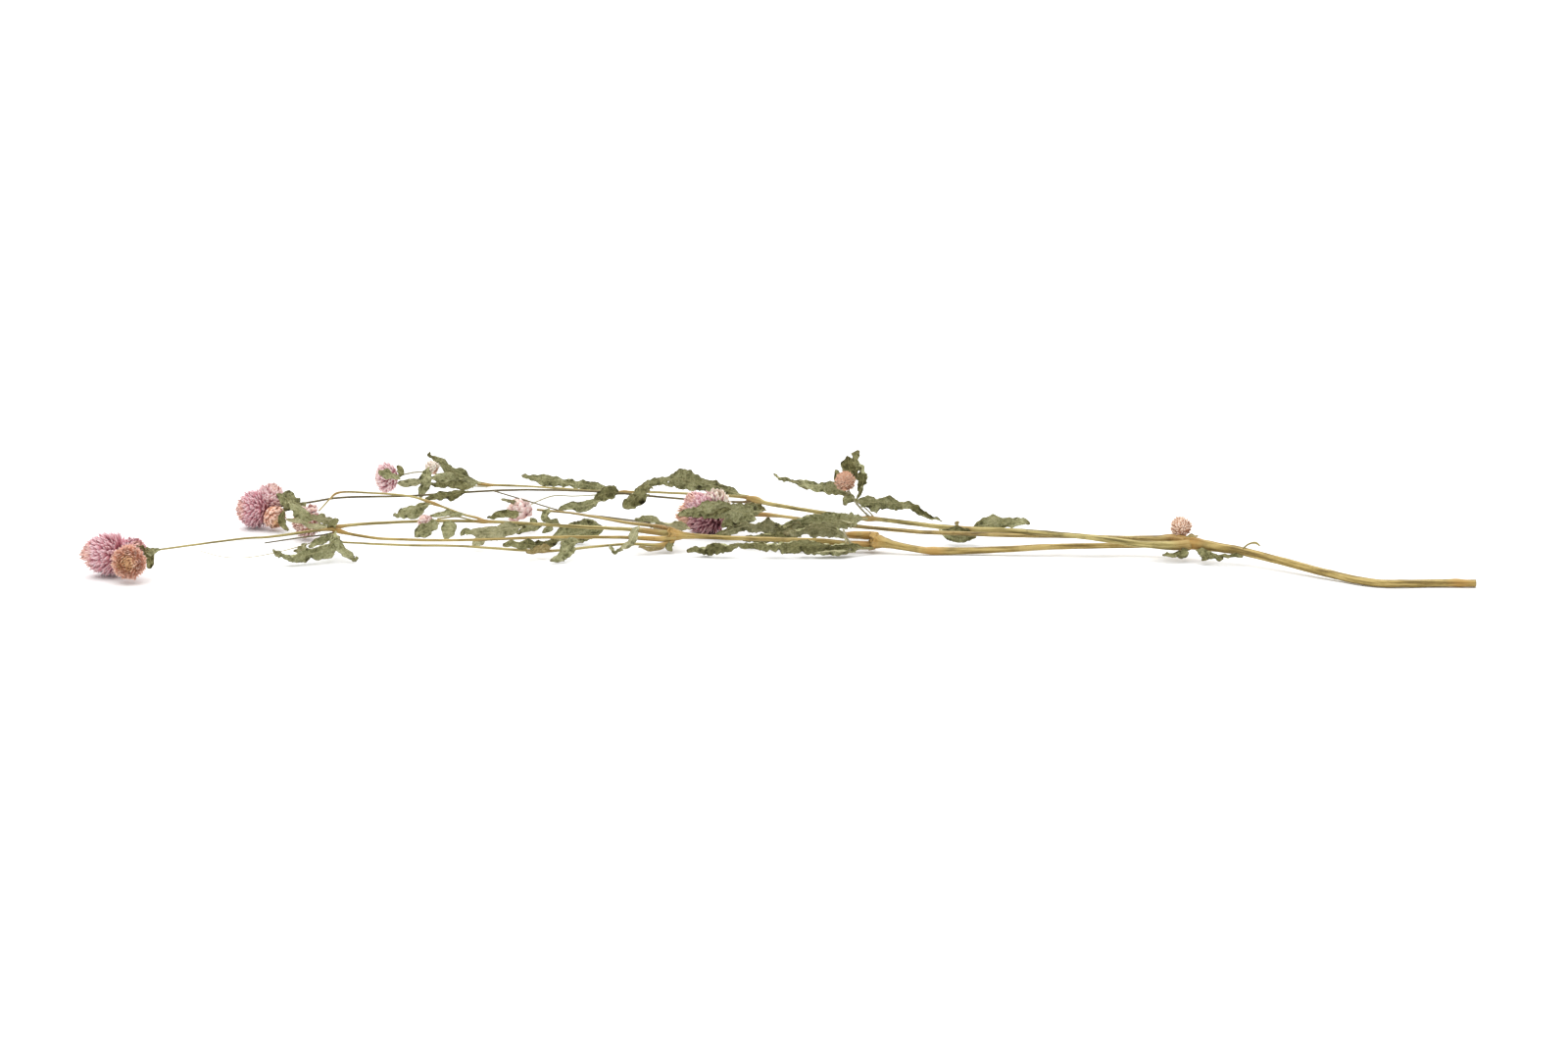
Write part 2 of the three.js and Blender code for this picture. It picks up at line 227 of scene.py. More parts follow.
class Sheet:
    """A material's node sheet with short ways to add the nodes that finishes share."""

    def __init__(self, name: str) -> None:
        """Starts a material with one principled shader."""
        self.material = bpy.data.materials.new(name)
        self.material.use_nodes = True
        self.tree = self.material.node_tree
        self.shader = self.tree.nodes["Principled BSDF"]

    def node(self, kind: str, **values: object) -> bpy.types.Node:
        """Adds a node and sets its named properties."""
        made = self.tree.nodes.new(kind)
        for key, value in values.items():
            setattr(made, key, value)
        return made

    def join(self, source: bpy.types.NodeSocket, target: bpy.types.NodeSocket) -> None:
        """Links two sockets."""
        self.tree.links.new(source, target)

    def put(self, target: bpy.types.NodeSocket, value: object) -> None:
        """Links a socket into target, or sets target's own value."""
        if isinstance(value, bpy.types.NodeSocket):
            self.join(value, target)
        else:
            target.default_value = value

    def place(self) -> bpy.types.NodeSocket:
        """Gives the object's own coordinates."""
        return self.node("ShaderNodeTexCoord").outputs["Object"]

    def attribute(self, name: str) -> bpy.types.Node:
        """Reads one of the mesh's attributes."""
        return self.node("ShaderNodeAttribute", attribute_name=name)

    def parts(self, vector: bpy.types.NodeSocket) -> list[bpy.types.NodeSocket]:
        """Splits a vector into its three numbers."""
        split = self.node("ShaderNodeSeparateXYZ")
        self.join(vector, split.inputs[0])
        return list(split.outputs)

    def math(self, work: str, a: object, b: object = 0.0, c: object = 0.0) -> bpy.types.NodeSocket:
        """Works one sum on up to three numbers or sockets."""
        made = self.node("ShaderNodeMath", operation=work)
        for socket, value in zip(made.inputs, (a, b, c)):
            self.put(socket, value)
        return made.outputs[0]

    def stretch(self, vector: bpy.types.NodeSocket, scale: Point) -> bpy.types.NodeSocket:
        """Scales a pattern's coordinates."""
        made = self.node("ShaderNodeMapping")
        made.inputs["Scale"].default_value = scale
        self.join(vector, made.inputs["Vector"])
        return made.outputs[0]

    def noise(
        self, vector: bpy.types.NodeSocket, scale: float, detail: float = 3.0, rough: float = 0.55
    ) -> bpy.types.NodeSocket:
        """Adds a soft random pattern.

        Args:
            vector: the coordinates it is drawn on.
            scale: blotches per unit of those coordinates.
            detail: how many finer layers it has.
            rough: how strong the finer layers are.

        Returns:
            The pattern, from 0 to 1.
        """
        made = self.node("ShaderNodeTexNoise")
        made.inputs["Scale"].default_value = scale
        made.inputs["Detail"].default_value = detail
        made.inputs["Roughness"].default_value = rough
        self.join(vector, made.inputs["Vector"])
        return made.outputs["Fac"]

    def cells(self, vector: bpy.types.NodeSocket, scale: float) -> bpy.types.NodeSocket:
        """Adds a net of cells and gives the distance from the net's lines."""
        made = self.node("ShaderNodeTexVoronoi", feature="DISTANCE_TO_EDGE")
        made.inputs["Scale"].default_value = scale
        self.join(vector, made.inputs["Vector"])
        return made.outputs["Distance"]

    def ramp(
        self, share: bpy.types.NodeSocket, stops: Sequence[tuple[float, Colour]]
    ) -> bpy.types.NodeSocket:
        """Turns a number into a colour.

        Args:
            share: the number, from 0 to 1.
            stops: places on the ramp with their colours, in order.

        Returns:
            The colour.
        """
        made = self.node("ShaderNodeValToRGB")
        bar = made.color_ramp
        while len(bar.elements) < len(stops):
            bar.elements.new(0.5)
        for element, (at, colour) in zip(bar.elements, stops):
            element.position = at
            element.color = colour
        self.join(share, made.inputs[0])
        return made.outputs["Color"]

    def step(self, share: bpy.types.NodeSocket, low: float, high: float) -> bpy.types.NodeSocket:
        """Eases a number from 0 at low to 1 at high."""
        made = self.node("ShaderNodeMapRange", interpolation_type="SMOOTHSTEP")
        self.join(share, made.inputs["Value"])
        made.inputs["From Min"].default_value = low
        made.inputs["From Max"].default_value = high
        return made.outputs["Result"]

    def mix(self, share: object, a: object, b: object, blend: str = "MIX") -> bpy.types.NodeSocket:
        """Mixes two colours.

        Args:
            share: how much of b, from 0 to 1.
            a: the first colour or socket.
            b: the second colour or socket.
            blend: how they mix.

        Returns:
            The mixed colour.
        """
        made = self.node("ShaderNodeMix", data_type="RGBA", blend_type=blend)
        self.put(made.inputs["Factor"], share)
        self.put(made.inputs[6], a)
        self.put(made.inputs[7], b)
        return made.outputs[2]

    def bump(self, height: bpy.types.NodeSocket, depth_mm: float, strength: float = 0.6) -> None:
        """Presses a pattern into the surface."""
        made = self.node("ShaderNodeBump")
        made.inputs["Strength"].default_value = strength
        made.inputs["Distance"].default_value = depth_mm * MM
        self.join(height, made.inputs["Height"])
        self.join(made.outputs["Normal"], self.shader.inputs["Normal"])

    def surface(self, colour: object, roughness: object, specular: float = 0.3) -> None:
        """Sets the shader's colour, roughness and reflection."""
        self.put(self.shader.inputs["Base Color"], colour)
        self.put(self.shader.inputs["Roughness"], roughness)
        self.shader.inputs["Specular IOR Level"].default_value = specular


@dataclass(frozen=True)
class StemFinish:
    """Dry ribbed stem: streaks along it, ochre joints and pale dry skin."""

    name: str
    dark: Colour
    middle: Colour
    light: Colour
    joint: Colour
    roughness: float = 0.55

    def make(self) -> bpy.types.Material:
        """Builds the material from the grain and joint attributes."""
        sheet = Sheet(self.name)
        grain = sheet.attribute("grain").outputs["Vector"]
        streaks = sheet.noise(sheet.stretch(grain, (1.1, 1.1, 0.07)), 1.5, 3.0, 0.5)
        fibres = sheet.noise(sheet.stretch(grain, (5.0, 5.0, 0.22)), 2.4, 4.0, 0.7)
        patches = sheet.noise(sheet.place(), 130.0, 4.0)
        mixed = sheet.math("MULTIPLY_ADD", fibres, 0.4, sheet.math("MULTIPLY", streaks, 0.6))
        colour = sheet.ramp(
            mixed,
            [(0.40, self.dark), (0.48, self.middle), (0.57, self.light), (0.70, self.middle)],
        )
        colour = sheet.mix(sheet.math("MULTIPLY", sheet.step(patches, 0.5, 0.72), 0.6), colour, self.dark)
        near = sheet.attribute("joint").outputs["Fac"]
        ragged = sheet.math("MULTIPLY", near, sheet.step(fibres, 0.15, 0.75))
        colour = sheet.mix(sheet.math("MULTIPLY", ragged, 0.75), colour, self.joint)
        specks = sheet.step(sheet.noise(sheet.place(), 900.0, 1.0), 0.68, 0.76)
        colour = sheet.mix(sheet.math("MULTIPLY", specks, 0.5), colour, self.dark)
        sheet.surface(colour, self.roughness)
        sheet.bump(mixed, 0.2, 0.8)
        return sheet.material


@dataclass(frozen=True)
class LeafFinish:
    """Dry leaf: mottled green with pale veins, brown edges and specks, and painted shade that lightens the crumples'
    ridges and darkens their valleys.
    """

    name: str
    dark: Colour
    middle: Colour
    light: Colour
    vein: Colour
    edge: Colour
    roughness: float = 0.8
    rib: float = 0.4

    def make(self) -> bpy.types.Material:
        """Builds the material from the blade attribute and the leaf's own place."""
        sheet = Sheet(self.name)
        along, across, height = sheet.parts(sheet.attribute("blade").outputs["Vector"])
        place = sheet.place()
        blotches = sheet.noise(place, 210.0, 5.0, 0.65)
        grains = sheet.noise(place, 1300.0, 4.0, 0.7)
        tone = sheet.math("MULTIPLY_ADD", grains, 0.5, sheet.math("MULTIPLY", blotches, 0.5))
        # painted shade: the blade attribute's third part carries the crumple height, which lightens ridges and darkens
        # valleys
        tone = sheet.math("ADD", tone, sheet.math("MULTIPLY", height, 0.10))
        colour = sheet.ramp(
            tone, [(0.28, self.dark), (0.45, self.middle), (0.64, self.light)]
        )
        width = sheet.math("ABSOLUTE", across)
        wander = sheet.noise(place, 420.0, 3.0)
        cells = sheet.cells(place, 620.0)
        net = sheet.math("SUBTRACT", 1.0, sheet.step(cells, 0.02, 0.16))
        rows = sheet.math(
            "SUBTRACT", sheet.math("MULTIPLY", along, 7.0), sheet.math("MULTIPLY", width, 1.6)
        )
        rows = sheet.math("ADD", rows, sheet.math("MULTIPLY", wander, 1.1))
        ripple = sheet.math("PINGPONG", rows, 0.5)
        veins = sheet.math("SUBTRACT", 1.0, sheet.step(ripple, 0.02, 0.10))
        veins = sheet.math("MULTIPLY", veins, sheet.math("SUBTRACT", 1.0, sheet.step(width, 0.45, 0.9)))
        rib = sheet.math("SUBTRACT", 1.0, sheet.step(width, 0.03, 0.11))
        lines = sheet.math(
            "MAXIMUM", sheet.math("MULTIPLY", veins, 0.22), sheet.math("MULTIPLY", net, 0.12)
        )
        lines = sheet.math("MAXIMUM", lines, sheet.math("MULTIPLY", rib, self.rib))
        colour = sheet.mix(lines, colour, self.vein)
        worn = sheet.math("ADD", width, sheet.math("MULTIPLY", blotches, 0.5))
        tip = sheet.math("ADD", along, sheet.math("MULTIPLY", wander, 0.25))
        worn = sheet.math("MAXIMUM", sheet.step(worn, 1.14, 1.34), sheet.step(tip, 1.02, 1.16))
        colour = sheet.mix(sheet.math("MULTIPLY", worn, 0.7), colour, self.edge)
        specks = sheet.step(sheet.noise(place, 560.0, 2.0), 0.64, 0.72)
        colour = sheet.mix(sheet.math("MULTIPLY", specks, 0.55), colour, self.edge)
        sheet.surface(colour, self.roughness, 0.2)
        relief = sheet.math("SUBTRACT", grains, sheet.math("MULTIPLY", net, 0.5))
        sheet.bump(relief, 0.4, 1.0)
        return sheet.material


@dataclass(frozen=True)
class BractFinish:
    """Papery bract: pale foot, a darker band painted as shade where the bract shows in the gaps between bracts,
    coloured middle, light tip, warm at the head's top.
    """

    name: str
    foot: Colour
    # painted shade: the darker colour of the bract's lower middle, where it shows in the gaps between bracts
    gap_shade: Colour
    middle: Colour
    tip: Colour
    top: Colour
    warmth: float = 1.0
    roughness: float = 0.55

    def make(self) -> bpy.types.Material:
        """Builds the material from the shade attribute: along, down the head, random."""
        sheet = Sheet(self.name)
        along, down, chance = sheet.parts(sheet.attribute("shade").outputs["Vector"])
        place = sheet.place()
        fibres = sheet.noise(place, 1900.0, 2.0, 0.6)
        blotches = sheet.noise(place, 240.0, 2.0)
        drift = sheet.math("MULTIPLY", sheet.math("SUBTRACT", chance, 0.5), 0.10)
        share = sheet.math("ADD", along, sheet.math("MULTIPLY", sheet.math("SUBTRACT", fibres, 0.5), 0.2))
        share = sheet.math("ADD", share, drift)
        # the second stop is painted shade for the gaps between bracts
        colour = sheet.ramp(
            share,
            [(0.10, self.foot), (0.44, self.gap_shade), (0.68, self.middle), (0.92, self.tip)],
        )
        warm = sheet.math("SUBTRACT", 1.0, sheet.step(down, 0.04, 0.40))
        warm = sheet.math("ADD", warm, sheet.math("MULTIPLY", sheet.math("SUBTRACT", blotches, 0.5), 1.1))
        warm = sheet.math("MULTIPLY", sheet.step(warm, 0.2, 0.95), self.warmth)
        shown = sheet.step(share, 0.5, 0.8)
        colour = sheet.mix(sheet.math("MULTIPLY", warm, shown), colour, self.top)
        pale = sheet.math("MULTIPLY", sheet.step(chance, 0.6, 1.0), 0.4)
        colour = sheet.mix(sheet.math("MULTIPLY", pale, shown), colour, self.tip)
        sheet.surface(colour, self.roughness, 0.3)
        sheet.shader.inputs["Subsurface Weight"].default_value = 0.1
        sheet.shader.inputs["Subsurface Radius"].default_value = (0.6, 0.35, 0.3)
        sheet.shader.inputs["Subsurface Scale"].default_value = 0.0012
        sheet.bump(fibres, 0.08, 0.5)
        return sheet.material


@dataclass(frozen=True)
class DownFinish:
    """Fine pale hair, or a plain dry fibre."""

    name: str
    light: Colour
    dark: Colour

    def make(self) -> bpy.types.Material:
        """Builds the material with a faint change of tone along the plant."""
        sheet = Sheet(self.name)
        tone = sheet.noise(sheet.place(), 700.0, 2.0)
        sheet.surface(sheet.ramp(tone, [(0.35, self.dark), (0.62, self.light)]), 0.7, 0.25)
        sheet.bump(tone, 0.05, 0.4)
        return sheet.material


GOLDEN_STEM = StemFinish(
    "golden stem", rgb(108, 89, 44), rgb(152, 129, 68), rgb(186, 164, 104), rgb(172, 124, 56)
)
OLIVE_STEM = StemFinish(
    "olive stem", rgb(94, 83, 43), rgb(149, 134, 78), rgb(186, 171, 113), rgb(162, 118, 58)
)
BROWN_STEM = StemFinish(
    "brown stem", rgb(90, 73, 40), rgb(150, 128, 76), rgb(188, 167, 110), rgb(160, 110, 54)
)
GREY_STALK = StemFinish(
    "grey stalk", rgb(116, 110, 82), rgb(156, 150, 120), rgb(192, 187, 162), rgb(158, 142, 102), 0.75
)
DARK_STALK = StemFinish(
    "dark stalk", rgb(58, 50, 34), rgb(90, 80, 54), rgb(128, 116, 80), rgb(120, 94, 58), 0.7
)
SAGE_LEAF = LeafFinish(
    "sage leaf", rgb(58, 56, 30), rgb(138, 138, 96), rgb(188, 187, 146), rgb(196, 190, 144), rgb(104, 86, 54)
)
DARK_LEAF = LeafFinish(
    "dark leaf", rgb(42, 39, 18), rgb(112, 110, 69), rgb(162, 159, 114), rgb(160, 152, 106), rgb(80, 64, 38), rib=0.25
)
PALE_LEAF = LeafFinish(
    "pale leaf", rgb(102, 100, 68), rgb(152, 150, 112), rgb(192, 188, 150), rgb(212, 204, 162), rgb(134, 112, 74)
)
BEIGE_LEAF = LeafFinish(
    "beige leaf", rgb(116, 98, 60), rgb(166, 148, 98), rgb(202, 188, 144), rgb(204, 190, 148), rgb(124, 96, 58), rib=0.1
)
ROSE = BractFinish(
    "rose bracts", rgb(214, 168, 168), rgb(182, 110, 126), rgb(206, 140, 150), rgb(224, 190, 194), rgb(214, 166, 136), 0.55
)
FADED_ROSE = BractFinish(
    "faded rose bracts", rgb(220, 188, 186), rgb(176, 116, 128), rgb(214, 164, 168), rgb(238, 214, 214),
    rgb(220, 178, 154), 0.45
)
PEACH = BractFinish(
    "peach bracts", rgb(230, 192, 168), rgb(212, 152, 126), rgb(232, 180, 158), rgb(240, 206, 188), rgb(222, 176, 128), 0.95
)
BLUSH = BractFinish(
    "blush bracts", rgb(222, 196, 188), rgb(184, 132, 132), rgb(214, 176, 170), rgb(234, 216, 210), rgb(216, 176, 150), 0.5
)
# mauve bracts of the middle head: partly the head's own colour, partly painted shade that darkens its body below the
# lighter rose crown
SHADED_MAUVE = BractFinish(
    "mauve bracts with painted shade", rgb(166, 116, 120), rgb(100, 54, 66), rgb(156, 98, 110), rgb(202, 160, 164), rgb(214, 170, 138), 0.95
)
DUSTY = BractFinish(
    "dusty bracts", rgb(200, 160, 130), rgb(158, 112, 84), rgb(208, 168, 140), rgb(236, 212, 194), rgb(214, 174, 142), 0.5
)
SALMON = BractFinish(
    "salmon bracts", rgb(232, 220, 206), rgb(200, 164, 144), rgb(218, 188, 168), rgb(208, 160, 134), rgb(210, 164, 134), 0.7
)
CREAM = BractFinish(
    "cream bracts", rgb(222, 208, 190), rgb(196, 172, 150), rgb(224, 208, 192), rgb(238, 228, 216), rgb(226, 200, 180), 0.3
)
DOWN = DownFinish("pale down", rgb(214, 208, 188), rgb(168, 161, 136))
ROSE_CORE = DownFinish("rose core", rgb(172, 112, 118), rgb(132, 80, 86))
TAN_CORE = DownFinish("tan core", rgb(210, 158, 130), rgb(176, 126, 100))

Finish = StemFinish | LeafFinish | BractFinish | DownFinish


class Finishes:
    """Makes each finish once and hands out its material."""

    def __init__(self) -> None:
        """Starts with nothing made."""
        self.made: dict[str, bpy.types.Material] = {}

    def get(self, finish: Finish) -> bpy.types.Material:
        """Gives the finish's material, building it the first time."""
        if finish.name not in self.made:
            self.made[finish.name] = finish.make()
        return self.made[finish.name]


# --------------------------------------------------------------------------------------
# Pieces
# --------------------------------------------------------------------------------------


def keep_above_surface(bm: bmesh.types.BMesh) -> None:
    """Lifts whatever would sink into the surface, in millimetres."""
    for vert in bm.verts:
        if vert.co.z < CLEARANCE_MM:
            vert.co.z = CLEARANCE_MM + 0.02 * (vert.co.z - CLEARANCE_MM) / (1.0 + abs(vert.co.z))


def finished_piece(
    name: str,
    bm: bmesh.types.BMesh,
    materials: Sequence[bpy.types.Material],
    nodes: Sequence[str] = (),
) -> bpy.types.Object:
    """Turns a mesh in plant millimetres into a piece in the shared frame.

    Args:
        name: the piece's name.
        bm: its mesh, which is freed.
        materials: its materials in the order that its faces number them.
        nodes: the construction's nodes that it stands for.

    Returns:
        The piece, riding on the plant's one body.
    """
    keep_above_surface(bm)
    for vert in bm.verts:
        vert.co = mm(vert.co)
    mesh = bpy.data.meshes.new(name)
    bm.to_mesh(mesh)
    bm.free()
    for polygon in mesh.polygons:
        polygon.use_smooth = True
    for material in materials:
        mesh.materials.append(material)
    piece = bpy.data.objects.new(name, mesh)
    bpy.context.scene.collection.objects.link(piece)
    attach(piece, BODY)
    if nodes:
        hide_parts(*nodes)
    return piece


def finish_modifiers(piece: bpy.types.Object, thickness_mm: float, levels: int, under: int = 0) -> None:
    """Gives a thin sheet its thickness and its smooth surface.

    Args:
        piece: the piece, whose mesh is one open sheet.
        thickness_mm: how thick the sheet is.
        levels: subdivision levels.
        under: how many materials further the underside's material is.
    """
    wall = piece.modifiers.new("thickness", "SOLIDIFY")
    wall.thickness = thickness_mm * MM
    wall.offset = 0.0
    wall.use_even_offset = False
    wall.material_offset = under
    if levels:
        fine = piece.modifiers.new("smooth", "SUBSURF")
        fine.levels = levels
        fine.render_levels = levels


@dataclass
class Stem:
    """A woody stem or stalk through [x, y, z, radius] points, in plant millimetres."""

    name: str
    points: list[tuple[float, float, float, float]]
    finish: StemFinish
    slot: Slot = Slot.STEM
    joints: tuple[float, ...] = ()  # point numbers where the colour turns ochre
    rings: tuple[float, ...] = ()  # shares of the length that carry a scar ring
    cup: float = 0.0  # how deep the far end is hollowed, millimetres
    hollow_start: float = 0.0  # how deep the near end is hollowed, millimetres
    ribs: int = 7
    nodes: tuple[str, ...] = ()
    sides: int = 16
    step: float = 1.0
    girth: float = 1.0  # share of the listed radii
    lip: float = 0.0  # how ragged a cupped end's rim is, millimetres

    def build(self) -> bmesh.types.BMesh:
        """Lays a subdivided cone along the route, with ribs, rings and small bends.

        Returns:
            The stem's mesh in plant millimetres, with its grain and joint attributes.
        """
        path = route(self.points)
        steps = max(6, int(path.length / self.step))
        bm = bmesh.new()
        bmesh.ops.create_cone(
            bm, cap_ends=True, cap_tris=False, segments=self.sides, radius1=1.0, radius2=1.0, depth=1.0
        )
        long_edges = [e for e in bm.edges if abs(e.verts[0].co.z - e.verts[1].co.z) > 0.5]
        bmesh.ops.subdivide_edges(bm, edges=long_edges, cuts=steps - 1, use_grid_fill=True)
        self._hollow(bm, 0.5, self.cup)
        self._hollow(bm, -0.5, self.hollow_start)
        grain = bm.verts.layers.float_vector.new("grain")
        joint = bm.verts.layers.float.new("joint")
        seed = Vector((0.0, 0.0, (sum(map(ord, self.name)) % 97) * 3.1))
        for vert in bm.verts:
            share = min(1.0, max(0.0, vert.co.z + 0.5))
            inward = max(0.0, abs(vert.co.z) - 0.5) * math.copysign(1.0, vert.co.z)
            reach = math.hypot(vert.co.x, vert.co.y)
            angle = math.atan2(vert.co.y, vert.co.x)
            place, side, back = path.cross(share)
            _, direction, key = path.at(share)
            along = share * path.length
            radius = self.girth * self._radius(key) * self._ridge(angle, along)
            radius *= 1.0 + self._ring(share, path.length)
            wander = 0.16 * min(1.0, radius)
            place = place + side * wander * noise.noise(seed + Vector((along * 0.11, 0.0, 0.0)))
            place = place + back * wander * noise.noise(seed + Vector((0.0, along * 0.11, 5.0)))
            place = place - direction * inward * path.length
            torn = noise.noise(seed + Vector((math.cos(angle), math.sin(angle), 0.0)) * 2.2)
            place = place + direction * (self.lip * torn * smooth(0.93, 1.0, share))
            out = side * math.cos(angle) + back * math.sin(angle)
            vert[grain] = Vector((math.cos(angle), math.sin(angle), along * 0.5)) + seed
            vert[joint] = self._near_joint(key, along, path)
            vert.co = place + out * (radius * reach)
        bmesh.ops.recalc_face_normals(bm, faces=bm.faces)
        return bm

    def _hollow(self, bm: bmesh.types.BMesh, end: float, depth: float) -> None:
        """Insets one end's cap and sinks it to leave a rim."""
        if not depth:
            return
        length = route(self.points).length
        caps = [f for f in bm.faces if all(abs(v.co.z - end) < 1e-5 for v in f.verts)]
        bmesh.ops.inset_region(bm, faces=caps, thickness=0.16, use_even_offset=True)
        inner = {v for f in caps for v in f.verts}
        bmesh.ops.translate(bm, verts=list(inner), vec=UP * math.copysign(depth / length, end))
        bmesh.ops.inset_region(bm, faces=caps, thickness=0.25, use_even_offset=True)

    def _radius(self, key: float) -> float:
        """Gives the radius at a fractional point number."""
        low = min(len(self.points) - 2, int(key))
        share = smooth(0.0, 1.0, key - low)
        return self.points[low][3] * (1.0 - share) + self.points[low + 1][3] * share

    def _ridge(self, angle: float, along: float) -> float:
        """Gives the ribs' share of the radius at one angle."""
        twist = 0.02 * along
        rib = 0.055 * math.cos(self.ribs * (angle + twist))
        dent = 0.05 * noise.noise(Vector((math.cos(angle), math.sin(angle), along * 0.22)))
        return 1.0 + rib + dent

    def _ring(self, share: float, length: float) -> float:
        """Gives the extra radius of the scar rings near a share of the length."""
        return sum(0.1 * math.exp(-(((share - at) * length / 0.5) ** 2)) for at in self.rings)

    def _near_joint(self, key: float, along: float, path: Route) -> float:
        """Says how near a joint is, from 0 to 1."""
        nearest = 0.0
        for number in self.joints:
            mark = path.marks[min(len(path.marks) - 1, round(number * path.samples))]
            nearest = max(nearest, 1.0 - smooth(1.0, 8.0, abs(along - mark)))
        for at in self.rings:
            nearest = max(nearest, 0.4 * (1.0 - smooth(0.3, 1.6, abs(along - at * path.length))))
        return nearest

    def dress(self, finishes: Finishes) -> bpy.types.Object:
        """Builds the stem and gives it its finish."""
        bm = self.build()
        return finished_piece(self.name, bm, [finishes.get(self.finish)], self.nodes)


@dataclass
class Leaf:
    """A dry leaf along a midrib, in plant millimetres, facing -Y before its turn."""

    name: str
    points: list[Point]
    half_width: float
    finish: LeafFinish
    under: LeafFinish = PALE_LEAF
    slot: Slot = Slot.LEAF
    turn: float = 0.0  # degrees about the midrib
    twist: float = 0.0  # degrees more at the tip
    curl: tuple[float, float] = (0.9, 0.9)  # bend of the upper and lower margin, radians
    petiole: float = 0.06  # share of the length that is stalk
    crinkle: float = 0.7  # height of the crumples, millimetres
    ragged: float = 0.1
    ruffle: float = 0.6  # sway of the margin, millimetres
    tears: tuple[tuple[float, float, float], ...] = ()  # along, across, size of holes
    tip: float = 0.85  # above 1 pulls the widest part towards the tip
    fineness: float = 0.5  # millimetres between the sheet's points
    nodes: tuple[str, ...] = ()

    def build(self) -> bmesh.types.BMesh:
        """Lays a grid along the midrib, then curls, crumples and tears it.

        Returns:
            The leaf's open sheet with its rib, in plant millimetres.
        """
        bm = bmesh.new()
        path = route(self.points)
        lengths = max(10, round(path.length / self.fineness))
        lanes = 2 * max(4, round(self.half_width / self.fineness))
        bmesh.ops.create_grid(bm, x_segments=lengths, y_segments=lanes, size=0.5)
        blade = bm.verts.layers.float_vector.new("blade")
        chance = random.Random(self.name)
        seed = Vector((chance.uniform(0, 90), chance.uniform(0, 90), chance.uniform(0, 90)))
        tone = chance.uniform(-0.5, 0.5)
        for vert in bm.verts:
            along = min(1.0, max(0.0, vert.co.x + 0.5))
            across = vert.co.y * 2.0
            vert.co, height = self._place(path, along, across, seed)
            # third part: the leaf's random tone plus its crumple height, which the finish paints as shade on ridges and
            # valleys
            vert[blade] = Vector((along, across, tone + height))
        self._tear(bm, blade)
        self._add_rib(bm, blade, path, seed, tone)
        return bm

    def _width(self, along: float, across: float, seed: Vector, length: float) -> float:
        """Gives the half width at a place, with a wavy, notched margin.

        Args:
            along: share of the leaf's length.
            across: -1 at one margin and 1 at the other.
            seed: the leaf's own place in the random field.
            length: the leaf's length in millimetres.

        Returns:
            The half width in millimetres.
        """
        if along < self.petiole:
            return 0.32
        share = (along - self.petiole) / (1.0 - self.petiole)
        swell = math.sin(math.pi * share**self.tip) ** 0.75
        side = 11.0 if across > 0 else 0.0
        wave = noise.noise(seed + Vector((along * length * 0.14, side, 0.0)))
        fine = noise.noise(seed + Vector((along * length * 0.42, side, 4.0)))
        notch = max(0.0, abs(wave) - 0.3) * 1.5
        return 0.3 + self.half_width * swell * (1.0 + self.ragged * (2.0 * wave + 0.7 * fine - notch))

    def _spine(self, path: Route, along: float, seed: Vector) -> tuple[Vector, Vector, Vector]:
        """Gives the midrib's place, the blade's direction and its face's direction.

        Args:
            path: the midrib's route.
            along: share of the leaf's length.
            seed: the leaf's own place in the random field.

        Returns:
            The place, the unit direction across the blade, and the unit normal that
            faces the viewer's side before the turn.
        """
        place, side, back = path.cross(along)
        sway = Vector((along * 2.6, 3.0, 0.0))
        free = smooth(0.0, 0.3, along)
        place = place + back * (1.1 * free * noise.noise(seed + sway))
        place = place + side * (0.6 * free * noise.noise(seed - sway * 1.6))
        turned = self.turn + self.twist * along + 45.0 * free * noise.noise(seed + sway * 1.9)
        turned = math.radians(turned)
        across = side * math.cos(turned) + back * math.sin(turned)
        face = side * math.sin(turned) - back * math.cos(turned)
        return place, across, face

    def _place(self, path: Route, along: float, across: float, seed: Vector) -> tuple[Vector, float]:
        """Places one point of the blade: bent, rolled, ruffled and crumpled.

        Args:
            path: the midrib's route.
            along: share of the leaf's length.
            across: -1 at one margin and 1 at the other.
            seed: the leaf's own place in the random field.

        Returns:
            The place in plant millimetres, and how high on the crumples it is, which the leaf's finish turns into
            painted shade.
        """
        place, side, face = self._spine(path, along, seed)
        width = self._width(along, across, seed, path.length)
        run = along * path.length
        lane = 7.0 if across > 0 else 2.0
        base = self.curl[0] if across > 0 else self.curl[1]
        loose = noise.noise(seed + Vector((run * 0.13, lane, 0.0)))
        bend = base * (0.5 + 0.5 * math.sin(math.pi * along)) + 1.3 * loose
        bend = math.copysign(max(0.05, abs(bend)), bend)
        reach = abs(across)
        out = math.copysign(width * math.sin(bend * reach) / bend, across)
        rise = width * (1.0 - math.cos(bend * reach)) / bend
        spot = place + side * out + face * rise
        body = smooth(self.petiole, self.petiole + 0.1, along) * min(1.0, 0.2 + reach)
        wide = noise.noise(seed + spot * 0.17)
        middle = noise.noise(seed * 2.0 + spot * 0.38)
        fine = noise.noise(seed * 3.0 + spot * 0.95)
        crease = 0.4 - 2.2 * abs(middle)
        sway = noise.noise(seed + Vector((run * 0.21, lane + 20.0, 0.0)))
        lift = self.crinkle * body * (1.7 * wide + 1.1 * crease + 0.55 * fine)
        lift += self.ruffle * body * reach * reach * 2.2 * sway
        slip = self.crinkle * body * (0.6 * middle + 0.2 * fine)
